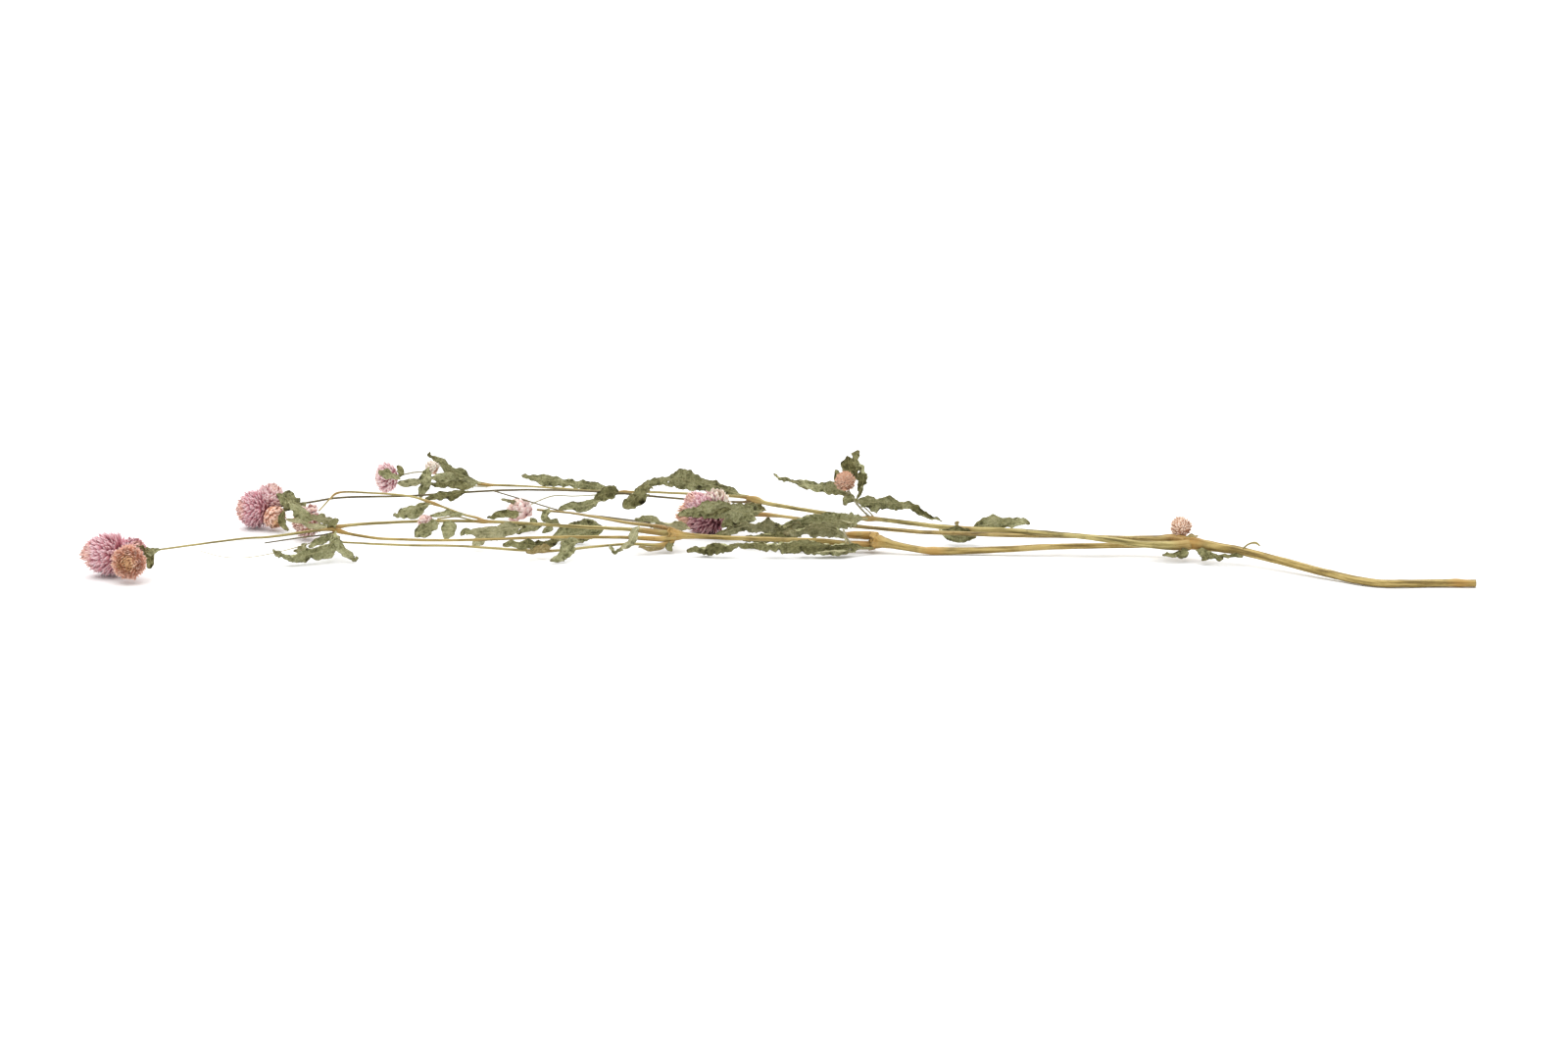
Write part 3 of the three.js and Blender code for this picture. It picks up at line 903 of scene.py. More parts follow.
        # how high on the crumples, kept for the finish's painted shade: light ridges, dark valleys
        height = 1.5 * crease * body + 1.0 * fine + 0.9 * wide
        return spot + face * lift + side * slip, height

    def _tear(self, bm: bmesh.types.BMesh, blade: bmesh.types.BMLayerItem) -> None:
        """Takes out the faces inside the holes."""
        gone = []
        for face in bm.faces:
            along = sum(v[blade].x for v in face.verts) / len(face.verts)
            across = sum(v[blade].y for v in face.verts) / len(face.verts)
            for at, over, size in self.tears:
                if math.hypot((along - at) * 1.6, (across - over) * 0.5) < size:
                    gone.append(face)
                    break
        if gone:
            bmesh.ops.delete(bm, geom=gone, context="FACES")

    def _add_rib(
        self, bm: bmesh.types.BMesh, blade: bmesh.types.BMLayerItem, path: Route, seed: Vector, tone: float
    ) -> None:
        """Lays the raised midrib and stalk along the leaf as a folded strip."""
        before = set(bm.verts)
        bmesh.ops.create_grid(
            bm, x_segments=max(10, round(path.length / self.fineness)), y_segments=4, size=0.5
        )
        fresh = [v for v in bm.verts if v not in before]
        thick = min(0.42, 0.14 + 0.06 * self.half_width)
        for vert in fresh:
            along = min(1.0, max(0.0, vert.co.x + 0.5))
            turn = vert.co.y * 2.0 * math.pi * 0.5
            place, side, face = self._spine(path, along, seed)
            middle, _ = self._place(path, along, 0.0, seed)
            radius = thick * (1.0 - 0.8 * along) + 0.04
            vert.co = middle + side * (radius * math.sin(turn)) + face * (
                radius * math.cos(turn) - 0.3 * radius
            )
            vert[blade] = Vector((along * 0.9, 0.0, tone))

    def dress(self, finishes: Finishes) -> bpy.types.Object:
        """Builds the leaf and gives it its two sides."""
        bm = self.build()
        materials = [finishes.get(self.finish), finishes.get(self.under)]
        piece = finished_piece(self.name, bm, materials, self.nodes)
        finish_modifiers(piece, 0.2, 0, 1)
        return piece


@dataclass
class Head:
    """A flower head: overlapping keeled bracts set in a spiral round a core."""

    name: str
    centre: Point
    axis: Point
    radius: float
    length: float
    count: int
    finish: BractFinish
    slot: Slot = Slot.PINK
    lean: tuple[float, float] = (20.0, 56.0)  # degrees towards the top, at top and foot
    bract_width: float = 1.0
    reach: float = 1.02  # how far tips stand, share of the head's radius
    spread: float = 0.97  # share of the globe that carries bracts
    flatten: float = 1.0
    jitter: float = 0.16
    root: float = 0.42  # where bracts spring from, share of the radius
    nodes: tuple[str, ...] = ()
    core: DownFinish | None = ROSE_CORE

    def build(self) -> bmesh.types.BMesh:
        """Sets copies of a few bracts round the head.

        Returns:
            The head's open bracts, in plant millimetres.
        """
        bm = bmesh.new()
        shade = bm.verts.layers.float_vector.new("shade")
        chance = random.Random(self.name)
        patterns = [self._bract(bm, shade, chance) for _ in range(4)]
        turn = Vector((0.0, 0.0, 1.0)).rotation_difference(Vector(self.axis).normalized())
        for number in range(self.count):
            pattern = patterns[chance.randrange(len(patterns))]
            made = bmesh.ops.duplicate(bm, geom=pattern)
            verts = [g for g in made["geom"] if isinstance(g, bmesh.types.BMVert)]
            down = (number + 0.5) / self.count
            matrix = self._seat(number, down, chance)
            tone = chance.random()
            bmesh.ops.transform(bm, matrix=matrix, verts=verts)
            for vert in verts:
                vert[shade] = Vector((vert[shade].x, down, tone))
        for pattern in patterns:
            bmesh.ops.delete(
                bm, geom=[g for g in pattern if isinstance(g, bmesh.types.BMVert)], context="VERTS"
            )
        for vert in bm.verts:
            vert.co = turn @ vert.co
            vert.co.z *= self.flatten
            vert.co += Vector(self.centre)
        return bm

    def _bract(
        self, bm: bmesh.types.BMesh, shade: bmesh.types.BMLayerItem, chance: random.Random
    ) -> list[bmesh.types.BMVert | bmesh.types.BMEdge | bmesh.types.BMFace]:
        """Makes one keeled, pointed bract of unit length along +Y, keel towards +Z.

        Args:
            bm: the mesh that it is made in.
            shade: the attribute that holds how far along the bract a point is.
            chance: the head's own random numbers.

        Returns:
            The bract's vertices, edges and faces.
        """
        known = set(bm.verts)
        bmesh.ops.create_grid(bm, x_segments=2, y_segments=6, size=0.5)
        fresh = [v for v in bm.verts if v not in known]
        bow = chance.uniform(0.04, 0.12)
        hook = chance.uniform(-0.10, 0.10)
        skew = chance.uniform(-0.07, 0.07)
        for vert in fresh:
            along = vert.co.y + 0.5
            across = vert.co.x * 2.0
            width = 0.5 * (0.3 + 0.7 * math.sin(math.pi * min(1.0, 0.1 + 0.78 * along)))
            width *= 1.0 - 0.92 * min(1.0, max(0.0, (along - 0.62) / 0.38)) ** 1.5
            keel = 0.7 * width * (1.0 - abs(across) ** 1.3)
            rise = keel + bow * math.sin(math.pi * along) + hook * along**3
            vert[shade] = Vector((along, 0.0, 0.0))
            vert.co = Vector((across * width + skew * along * along, along, rise))
        faces = {f for v in fresh for f in v.link_faces}
        edges = {e for v in fresh for e in v.link_edges}
        return [*fresh, *edges, *faces]

    def _seat(self, number: int, down: float, chance: random.Random) -> Matrix:
        """Works out where one bract stands and which way it points.

        Args:
            number: the bract's number in the spiral.
            down: 0 at the head's top and 1 at its foot.
            chance: the head's own random numbers.

        Returns:
            The matrix from the unit bract to head coordinates with +Z as the axis.
        """
        cosine = 1.0 - 2.0 * down * self.spread
        sine = math.sqrt(max(0.0, 1.0 - cosine * cosine))
        angle = number * GOLDEN_ANGLE + chance.uniform(-0.12, 0.12)
        out = Vector((sine * math.cos(angle), sine * math.sin(angle), cosine))
        top = Vector((-cosine * math.cos(angle), -cosine * math.sin(angle), sine))
        lean = self.lean[0] * (1.0 - down) + self.lean[1] * down
        lean = math.radians(lean + chance.uniform(-60.0, 60.0) * self.jitter)
        aim = (out * math.cos(lean) + top * math.sin(lean)).normalized()
        keel = (out * math.sin(lean) - top * math.cos(lean)).normalized()
        side = aim.cross(keel).normalized()
        stretch = Vector((self.radius, self.radius, self.length / 2.0))
        start = Vector(out * stretch) * self.root
        surface = Vector(out * stretch).length
        size = (self.reach - self.root * 0.9) * surface / max(0.5, math.cos(lean * 0.8))
        size *= (1.0 + chance.uniform(-1.0, 0.6) * self.jitter) * (1.0 - 0.16 * smooth(0.55, 0.95, down))
        near_top = 0.7 + 0.3 * smooth(0.0, 0.12, down)
        width = self.bract_width * self._spacing() * near_top * (1.0 + chance.uniform(-0.15, 0.15))
        roll = Quaternion(aim, math.radians(chance.uniform(-14.0, 14.0)))
        side, keel = roll @ side, roll @ keel
        basis = Matrix((side * width, aim * size, keel * width * 1.1)).transposed()
        return Matrix.Translation(start) @ basis.to_4x4()

    def _spacing(self) -> float:
        """Gives the distance between neighbouring tips on the head."""
        area = 4.0 * math.pi * self.radius * (self.radius + self.length) / 3.0
        return 1.35 * math.sqrt(area / self.count)

    def dress(self, finishes: Finishes) -> bpy.types.Object:
        """Builds the head and gives it its finish."""
        bm = self.build()
        piece = finished_piece(self.name, bm, [finishes.get(self.finish)], self.nodes)
        finish_modifiers(piece, 0.07, 0)
        if self.core:
            self._core(finishes, self.core)
        return piece

    def _core(self, finishes: Finishes, finish: DownFinish) -> bpy.types.Object:
        """Fills the middle of the head, so that light doesn't pass through it."""
        bm = bmesh.new()
        bmesh.ops.create_icosphere(bm, subdivisions=3, radius=1.0)
        turn = UP.rotation_difference(Vector(self.axis).normalized())
        for vert in bm.verts:
            rough = 1.0 + 0.06 * noise.noise(vert.co * 3.0)
            shape = Vector((vert.co.x * self.radius, vert.co.y * self.radius, vert.co.z * self.length / 2))
            vert.co = turn @ (shape * 0.78 * rough)
            vert.co.z *= self.flatten
            vert.co += Vector(self.centre)
        return finished_piece(self.name + "_core", bm, [finishes.get(finish)])


@dataclass
class Down:
    """Fine hairs standing off a stretch of stalk or the foot of a head."""

    name: str
    points: list[tuple[float, float, float, float]]
    count: int
    length: float = 0.9
    slot: Slot = Slot.PALE

    def build(self) -> bmesh.types.BMesh:
        """Stands thin cones round the route.

        Returns:
            The hairs' mesh in plant millimetres.
        """
        bm = bmesh.new()
        chance = random.Random(self.name)
        path = route(self.points)
        made = bmesh.ops.create_cone(
            bm, cap_ends=True, cap_tris=True, segments=3, radius1=0.045, radius2=0.006, depth=1.0,
            matrix=Matrix.Translation((0.0, 0.0, 0.5)),
        )
        pattern = list(bm.verts) + list(bm.edges) + list(bm.faces)
        for _ in range(self.count):
            share = chance.random()
            place, direction, key = path.at(share)
            _, side, back = path.cross(share)
            low = min(len(self.points) - 2, int(key))
            radius = self.points[low][3] + (self.points[low + 1][3] - self.points[low][3]) * (key - low)
            angle = chance.uniform(0.0, 2.0 * math.pi)
            out = side * math.cos(angle) + back * math.sin(angle)
            aim = (
                out + direction * chance.uniform(-0.9, 0.9) + side * chance.uniform(-0.3, 0.3)
            ).normalized()
            size = self.length * chance.uniform(0.5, 1.3)
            turn = UP.rotation_difference(aim).to_matrix().to_4x4()
            matrix = Matrix.Translation(
                place + out * radius * 0.85
            ) @ turn @ Matrix.Diagonal((1, 1, size, 1))
            copy = bmesh.ops.duplicate(bm, geom=pattern)
            verts = [g for g in copy["geom"] if isinstance(g, bmesh.types.BMVert)]
            bmesh.ops.transform(bm, matrix=matrix, verts=verts)
        bmesh.ops.delete(bm, geom=made["verts"], context="VERTS")
        return bm

    def dress(self, finishes: Finishes) -> bpy.types.Object:
        """Builds the hairs and gives them their finish."""
        return finished_piece(self.name, self.build(), [finishes.get(DOWN)])


# --------------------------------------------------------------------------------------
# The plant's sub-assemblies
# --------------------------------------------------------------------------------------


@dataclass
class MainStem:
    """The thick cut stem, its top joint and the three branches that leave it."""

    finishes: Finishes
    joint: tuple[float, float, float, float] = (181.5, -12.6, 7.7, 2.2)

    def build(self) -> list[bpy.types.Object]:
        """Builds the stems.

        Returns:
            The finished pieces.
        """
        x, y, z, _ = self.joint
        stems = [
            Stem(
                "main_stem_skin",
                [
                    (299, -66.5, 1.85, 1.6), (295, -66.5, 1.85, 1.6), (291, -66, 1.95, 1.8),
                    (287, -66, 1.85, 1.65), (279, -66, 1.8, 1.6), (257, -66, 1.8, 1.65), (239, -52, 2.5, 1.7),
                    (219, -34, 4.4, 1.75), (204, -22, 6.0, 1.85), (195, -18, 6.7, 2.05), (188, -15, 7.3, 2.4),
                    (184, -13.4, 7.7, 2.7), (181, -12.4, 8.0, 2.6), (179, -12, 8.0, 2.2),
                ],
                GOLDEN_STEM, joints=(1.6, 11.5), rings=(0.972,), hollow_start=0.6, sides=24, step=0.7,
                nodes=("main_stem",),
            ),
            Stem(
                "lower_branch_skin",
                [
                    (x, y, z - 0.4, 2.1), (174, -10, 6.6, 1.7), (159, -5, 5.1, 1.2), (124, -4, 4.2, 1.3),
                    (104, -3, 3.0, 1.4), (84, -2, 1.9, 1.5), (73, -2, 1.85, 1.65), (69, -2, 1.9, 1.75),
                    (65, -2, 2.1, 1.5), (58, -1, 2.9, 1.5), (51, 0.5, 3.9, 1.75), (47, 2, 4.6, 2.3),
                    (44, 3, 5.0, 3.1), (41.6, 3, 5.2, 3.9), (40.2, 3, 5.3, 4.3),
                ],
                GOLDEN_STEM, joints=(0.4, 7.2, 13.4), cup=2.8, lip=2.2, sides=28, step=0.6,
                nodes=("lower_branch",),
            ),
            Stem(
                "upper_branch_skin",
                [
                    (x, y - 0.6, z - 0.6, 2.1), (175, -14.6, 7.0, 1.75), (158, -14.5, 7.9, 1.15),
                    (136, -6, 9.1, 1.0), (104, 10, 8.4, 0.95), (83, 20, 7.1, 1.05), (63, 31, 6.9, 0.85),
                    (45, 41, 7.1, 0.85), (41, 42, 7.1, 1.1), (37, 43, 7.2, 0.8), (14, 55, 8.1, 0.75),
                    (-6, 66, 9.4, 0.8), (-11, 69, 10.2, 1.5), (-15, 70, 10.6, 1.3),
                ],
                OLIVE_STEM, joints=(0.4, 5.0, 8.0, 12.4), girth=1.22, nodes=("upper_branch",),
            ),
            Stem(
                "middle_branch_skin",
                [
                    (x, y + 0.4, z + 0.4, 2.1), (176, -9, 9, 1.95), (167, -5, 8, 1.35), (151, 0, 7.2, 1),
                    (125, 5, 7.2, 0.95), (104, 8, 6.8, 0.95), (82, 12, 6.7, 0.85), (63, 17, 6.4, 0.85),
                    (38, 28, 6.3, 0.8), (22, 36, 6.4, 0.75), (3, 44, 7.6, 0.7), (-8, 46, 8.3, 1),
                    (-20, 45, 8.4, 0.8),
                ],
                BROWN_STEM, joints=(0.9, 11.0), girth=1.1, nodes=("middle_branch",),
            ),
        ]
        pieces = [stem.dress(self.finishes) for stem in stems]
        pieces.append(
            Stem(
                "curled_tendril",
                [
                    (204, -22.6, 7.4, 0.4), (206.4, -22.8, 9.4, 0.42), (209.4, -22.8, 10.0, 0.56),
                    (211.4, -22.6, 8.6, 0.36)
                ],
                OLIVE_STEM, Slot.STALK, ribs=3, sides=8, step=0.4
            ).dress(self.finishes)
        )
        return pieces


@dataclass
class FrontStem:
    """The stem after the cupped joint, and the fan of stems that its flanged end carries."""

    finishes: Finishes

    def build(self) -> list[bpy.types.Object]:
        """Builds the stems.

        Returns:
            The finished pieces.
        """
        stems = [
            Stem(
                "front_stem_skin",
                [
                    (43.5, 3, 3.5, 1.5), (40, 2.8, 3.5, 1.75), (36, 2.4, 3.7, 1.75), (29, 2, 4.3, 1.35),
                    (18, 3, 5.2, 1.15), (0, 3, 5.9, 1.0), (-24, 4, 6.5, 1.0), (-37, 5, 6.9, 1.15),
                    (-42, 5, 7.2, 1.55), (-45.5, 5, 7.5, 2.3), (-48, 5, 7.7, 3.2), (-49.6, 5, 7.7, 3.7),
                ],
                GOLDEN_STEM, joints=(0.6, 2.0, 10.4), rings=(0.88,), cup=2.2, lip=1.4, sides=26, step=0.6,
                nodes=("front_stem",),
            ),
            Stem(
                "cut_stub_skin",
                [(44, 4.2, 7.3, 1.7), (40, 6, 7.2, 1.9), (35, 8.4, 6.9, 1.75), (29.4, 10.8, 6.4, 1.3)],
                GOLDEN_STEM, joints=(0.6, 2.6), cup=0.7, lip=1.2, sides=18, step=0.6, nodes=("cut_stub",),
            ),
            Stem(
                "fan_stub_skin",
                [
                    (-46, 6, 9.0, 0.9), (-52, 9, 10.2, 1.0), (-58, 11, 10.7, 0.8), (-68, 14, 11.2, 0.7),
                    (-80, 20, 12.1, 0.6), (-94, 28, 12.7, 0.5), (-110, 38, 12.1, 0.55),
                ],
                BROWN_STEM, joints=(0.8,), cup=0.3, nodes=("fan_stub",),
            ),
            Stem(
                "fan_stem_back_skin",
                [
                    (-46, 5.5, 7.9, 1.2), (-52, 6.5, 8.2, 1.45), (-61, 8.8, 8.8, 1.3), (-66, 9.8, 9.0, 0.85),
                    (-98, 16, 9.4, 0.75), (-120, 20, 10.0, 0.7), (-130, 20, 10.4, 0.75), (-133, 20, 10.5, 1.0),
                    (-137, 20, 10.6, 0.7), (-152, 18, 11.2, 0.65), (-173, 12, 11.8, 0.65),
                    (-192, 5, 12.0, 0.75), (-198, 2, 11.6, 1.1),
                ],
                OLIVE_STEM, joints=(1.6, 7.0, 11.8), nodes=("fan_stem_back",),
            ),
            Stem(
                "fan_stem_middle_skin",
                [
                    (-46, 4, 6.8, 1.2), (-52, 2, 6.4, 1.3), (-60, 0.8, 7.0, 1.1), (-66, 0.2, 7.4, 0.75),
                    (-100, 0, 7.6, 0.65), (-142, -2, 6.7, 0.6), (-163, -3, 7.1, 0.6), (-179, -2, 7.6, 0.62),
                    (-191, -1, 9.3, 0.7), (-196, 0, 10.4, 1.15), (-200, 1, 11.2, 0.9),
                ],
                GOLDEN_STEM, joints=(1.6, 9.4), nodes=("fan_stem_middle",),
            ),
            Stem(
                "fan_stem_front_skin",
                [
                    (-47, 3.5, 4.9, 0.9), (-51, 1, 4.2, 1.1), (-56, -1.4, 4.4, 0.8), (-67, -4, 5.4, 0.6),
                    (-83, -8, 4.9, 0.55), (-95, -9, 3.7, 0.6), (-102, -9, 3.3, 0.65), (-105, -9, 3.3, 1.05),
                    (-108, -9, 3.4, 0.6), (-118, -9, 3.9, 0.6), (-141, -11, 6.0, 0.5), (-171, -12, 6.8, 0.5),
                    (-194, -10, 7.6, 0.45),
                ],
                OLIVE_STEM, joints=(0.8, 7.0), nodes=("fan_stem_front",),
            ),
            Stem(
                "fan_twig_skin",
                [
                    (-58, 17, 10.6, 0.42), (-68, 24, 10.3, 0.4), (-80, 30, 10.6, 0.4), (-95, 36, 11.0, 0.36),
                    (-114, 46, 14.3, 0.34), (-131, 58, 16.7, 0.32),
                ],
                DARK_STALK, Slot.STALK, ribs=4, sides=9, nodes=("fan_twig",),
            ),
            Stem(
                "side_shoot_skin",
                [
                    (-133, 20.5, 10.7, 0.8), (-136, 23, 11.5, 0.6), (-142, 26, 12.3, 0.55),
                    (-152, 33, 14.4, 0.52), (-157, 35.6, 15.6, 0.9), (-160, 37, 16.3, 0.7),
                    (-167, 40, 17.8, 0.5), (-186, 44, 18.7, 0.48), (-199, 44.4, 19.0, 0.5),
                    (-202, 43.6, 18.4, 0.6), (-205, 40, 16.0, 0.36), (-209, 36, 12.0, 0.34),
                ],
                OLIVE_STEM, joints=(0.4, 4.0, 9.0), sides=12, nodes=("side_shoot",),
            ),
            Stem(
                "tip_stem_skin",
                [
                    (-198, 0.6, 11.2, 1.0), (-203, -2, 11.3, 0.65), (-209, -6, 11.4, 0.6),
                    (-225, -16, 11.2, 0.52), (-234, -22, 11.9, 0.5), (-256, -37, 12.1, 0.45),
                    (-270, -45.5, 11.8, 0.42), (-276, -48, 11.4, 0.42),
                ],
                OLIVE_STEM, joints=(0.4,), sides=12, nodes=("tip_stem",),
            ),
            Stem(
                "tip_twig",
                [(-198, -0.5, 9.8, 0.42), (-203, -4, 9.4, 0.34), (-210, -8, 9.4, 0.3), (-227, -15, 8.3, 0.3)],
                DARK_STALK, Slot.STALK, ribs=4, sides=9
            ),
            Stem(
                "trailing_filament",
                [
                    (-198, -1, 9.6, 0.3), (-203, -7, 8.2, 0.24), (-210, -10, 6.3, 0.2), (-222, -16, 4.2, 0.17),
                    (-234, -24, 3.7, 0.15), (-244, -30, 5.4, 0.14), (-253, -36, 9.4, 0.12)
                ],
                OLIVE_STEM, Slot.STALK, ribs=3, sides=7
            ),
        ]
        return [stem.dress(self.finishes) for stem in stems]


@dataclass
class BackStem:
    """The thin stems behind, and the stalks that carry the smaller heads and buds."""

    finishes: Finishes

    def build(self) -> list[bpy.types.Object]:
        """Builds the stems and stalks.

        Returns:
            The finished pieces.
        """
        stems = [
            Stem(
                "back_stem_skin",
                [
                    (-12, 69.5, 10.6, 1.1), (-17, 71, 11.2, 0.75), (-36, 75, 11.6, 0.62),
                    (-57, 77, 12.2, 0.55), (-69, 79, 11.9, 0.6), (-72, 79, 11.8, 1.05), (-75, 79.6, 11.8, 0.6),
                    (-84, 81, 11.9, 0.5), (-113, 85, 13.2, 0.48), (-132, 86, 13.8, 0.6),
                    (-137, 86, 13.9, 0.95), (-141, 86.5, 14.2, 0.6),
                ],
                OLIVE_STEM, joints=(0.3, 5.0, 10.0), sides=12, nodes=("back_stem",),
            ),
            Stem(
                "back_twig_skin",
                [
                    (-12, 69, 9.8, 0.9), (-17, 68, 9.5, 0.58), (-45, 68, 11.0, 0.5), (-82, 73, 13.2, 0.5),
                    (-113, 74, 14.0, 0.5), (-135, 72, 13.9, 0.5), (-171, 64, 13.2, 0.5), (-203, 58, 13.5, 0.5),
                    (-216, 56, 11.8, 0.48), (-232, 55, 9.6, 0.45),
                ],
                DARK_STALK, joints=(0.4,), sides=12, nodes=("back_twig",),
            ),
            Stem(
                "beige_bud_stalk_skin",
                [
                    (-72, 78, 11.4, 0.5), (-85, 70, 12.4, 0.32), (-95, 64, 13.1, 0.3), (-104, 60, 14.0, 0.3),
                    (-112, 55, 12.0, 0.3), (-116, 52, 10.4, 0.32)
                ],
                GREY_STALK, Slot.STALK, ribs=3, sides=8, nodes=("beige_bud_stalk",),
            ),
            Stem(
                "oval_head_stalk_skin",
                [
                    (-136, 87, 14.2, 0.5), (-156, 92, 17.0, 0.36), (-168, 92, 18.8, 0.35),
                    (-176, 88, 18.2, 0.35), (-179, 87, 17.4, 0.4)
                ],
                GREY_STALK, Slot.STALK, ribs=3, sides=8, nodes=("oval_head_stalk",),
            ),
            Stem(
                "hairy_bud_stalk_skin",
                [
                    (-136, 84.5, 13.2, 0.4), (-151, 85, 14.7, 0.3), (-158, 87, 17.4, 0.3),
                    (-161.5, 88, 19.8, 0.34)
                ],
                GREY_STALK, Slot.STALK, ribs=3, sides=8, nodes=("hairy_bud_stalk",),
            ),
            Stem(
                "upright_stalk_skin",
                [
                    (41.4, 42, 7.6, 0.6), (38.6, 43, 10.2, 0.42), (35.4, 44, 13.6, 0.5), (33.4, 44, 16.6, 0.6),
                    (31.2, 44, 19.6, 0.75)
                ],
                GREY_STALK, Slot.STALK, ribs=4, sides=10, step=0.5, nodes=("upright_stalk",),
            ),
            Stem(
                "upright_stalk_prop",
                [
                    (43.6, 41.6, 7.4, 0.4), (40.8, 42.8, 10.4, 0.34), (36.6, 43.8, 13.9, 0.36),
                    (35.0, 44, 15.0, 0.4)
                ],
                GREY_STALK, Slot.STALK, ribs=3, sides=8, step=0.5
            ),
            Stem(
                "wrapped_bud_stalk_skin",
                [
                    (-137, 19.5, 10.9, 0.4), (-141, 18, 12.3, 0.36), (-145, 14, 14.0, 0.35),
                    (-153, 11, 13.6, 0.36)
                ],
                OLIVE_STEM, Slot.STALK, ribs=3, sides=8, nodes=("wrapped_bud_stalk",),
            ),
            Stem(
                "hairy_petiole",
                [
                    (28.5, -3.6, 12.0, 0.42), (29.6, -4, 9.0, 0.45), (31, -4.2, 6.6, 0.5),
                    (32.6, -4, 4.6, 0.5), (36, -3, 3.2, 0.5), (41, 0.0, 2.4, 0.45)
                ],
                GREY_STALK, Slot.STALK, ribs=3, sides=10, step=0.5
            ),
            Stem(
                "pale_sheath", [(22, -3.4, 3.4, 0.35), (27, -4, 2.6, 0.5), (32, -4.2, 3.2, 0.6)], GREY_STALK,
                Slot.STALK, ribs=3, sides=8, step=0.5
            ),
        ]
        pieces = [stem.dress(self.finishes) for stem in stems]
        down = [
            Down(
                "upright_stalk_down", [(41, 42, 8, 0.5), (35.4, 44, 13.6, 0.5), (31.2, 44, 19.8, 0.9)], 260,
                0.8
            ),
            Down(
                "hairy_bud_down", [(-151, 85, 14.7, 0.3), (-158, 87, 17.4, 0.3), (-162, 88, 20, 0.6)], 200,
                0.8
            ),
            Down(
                "petiole_down", [(28.5, -3.6, 12.4, 0.5), (30, -4, 9.0, 0.5), (33, -4, 4.0, 0.6)], 170, 0.7
            ),
            Down(
                "beige_bud_down", [(-104, 60, 14.0, 0.3), (-112, 55, 12.0, 0.3), (-117, 51.5, 10.0, 0.5)],
                170, 0.8
            ),
            Down(
                "oval_head_down", [(-168, 92, 18.8, 0.3), (-176, 88, 18.2, 0.4), (-180, 87, 17.2, 1.2)],
                150, 0.8
            ),
            Down(
                "front_joint_down", [(-46, 5, 8.0, 3.0), (-49.5, 5, 8.6, 3.2), (-54, 8, 10.6, 1.2)], 220,
                1.0
            ),
            Down("upper_joint_down", [(44, 41, 7.1, 0.8), (41, 42, 7.1, 1.1), (38, 43, 7.2, 0.8)], 70, 0.7),
            Down("cup_down", [(43, 3, 5.2, 4.4), (40.4, 3, 5.2, 4.6)], 150, 0.8),
            Down("top_joint_down", [(184, -13, 7.6, 2.9), (180, -12.4, 8.0, 2.7)], 130, 0.7),
        ]
        pieces.extend(hairs.dress(self.finishes) for hairs in down)
        return pieces


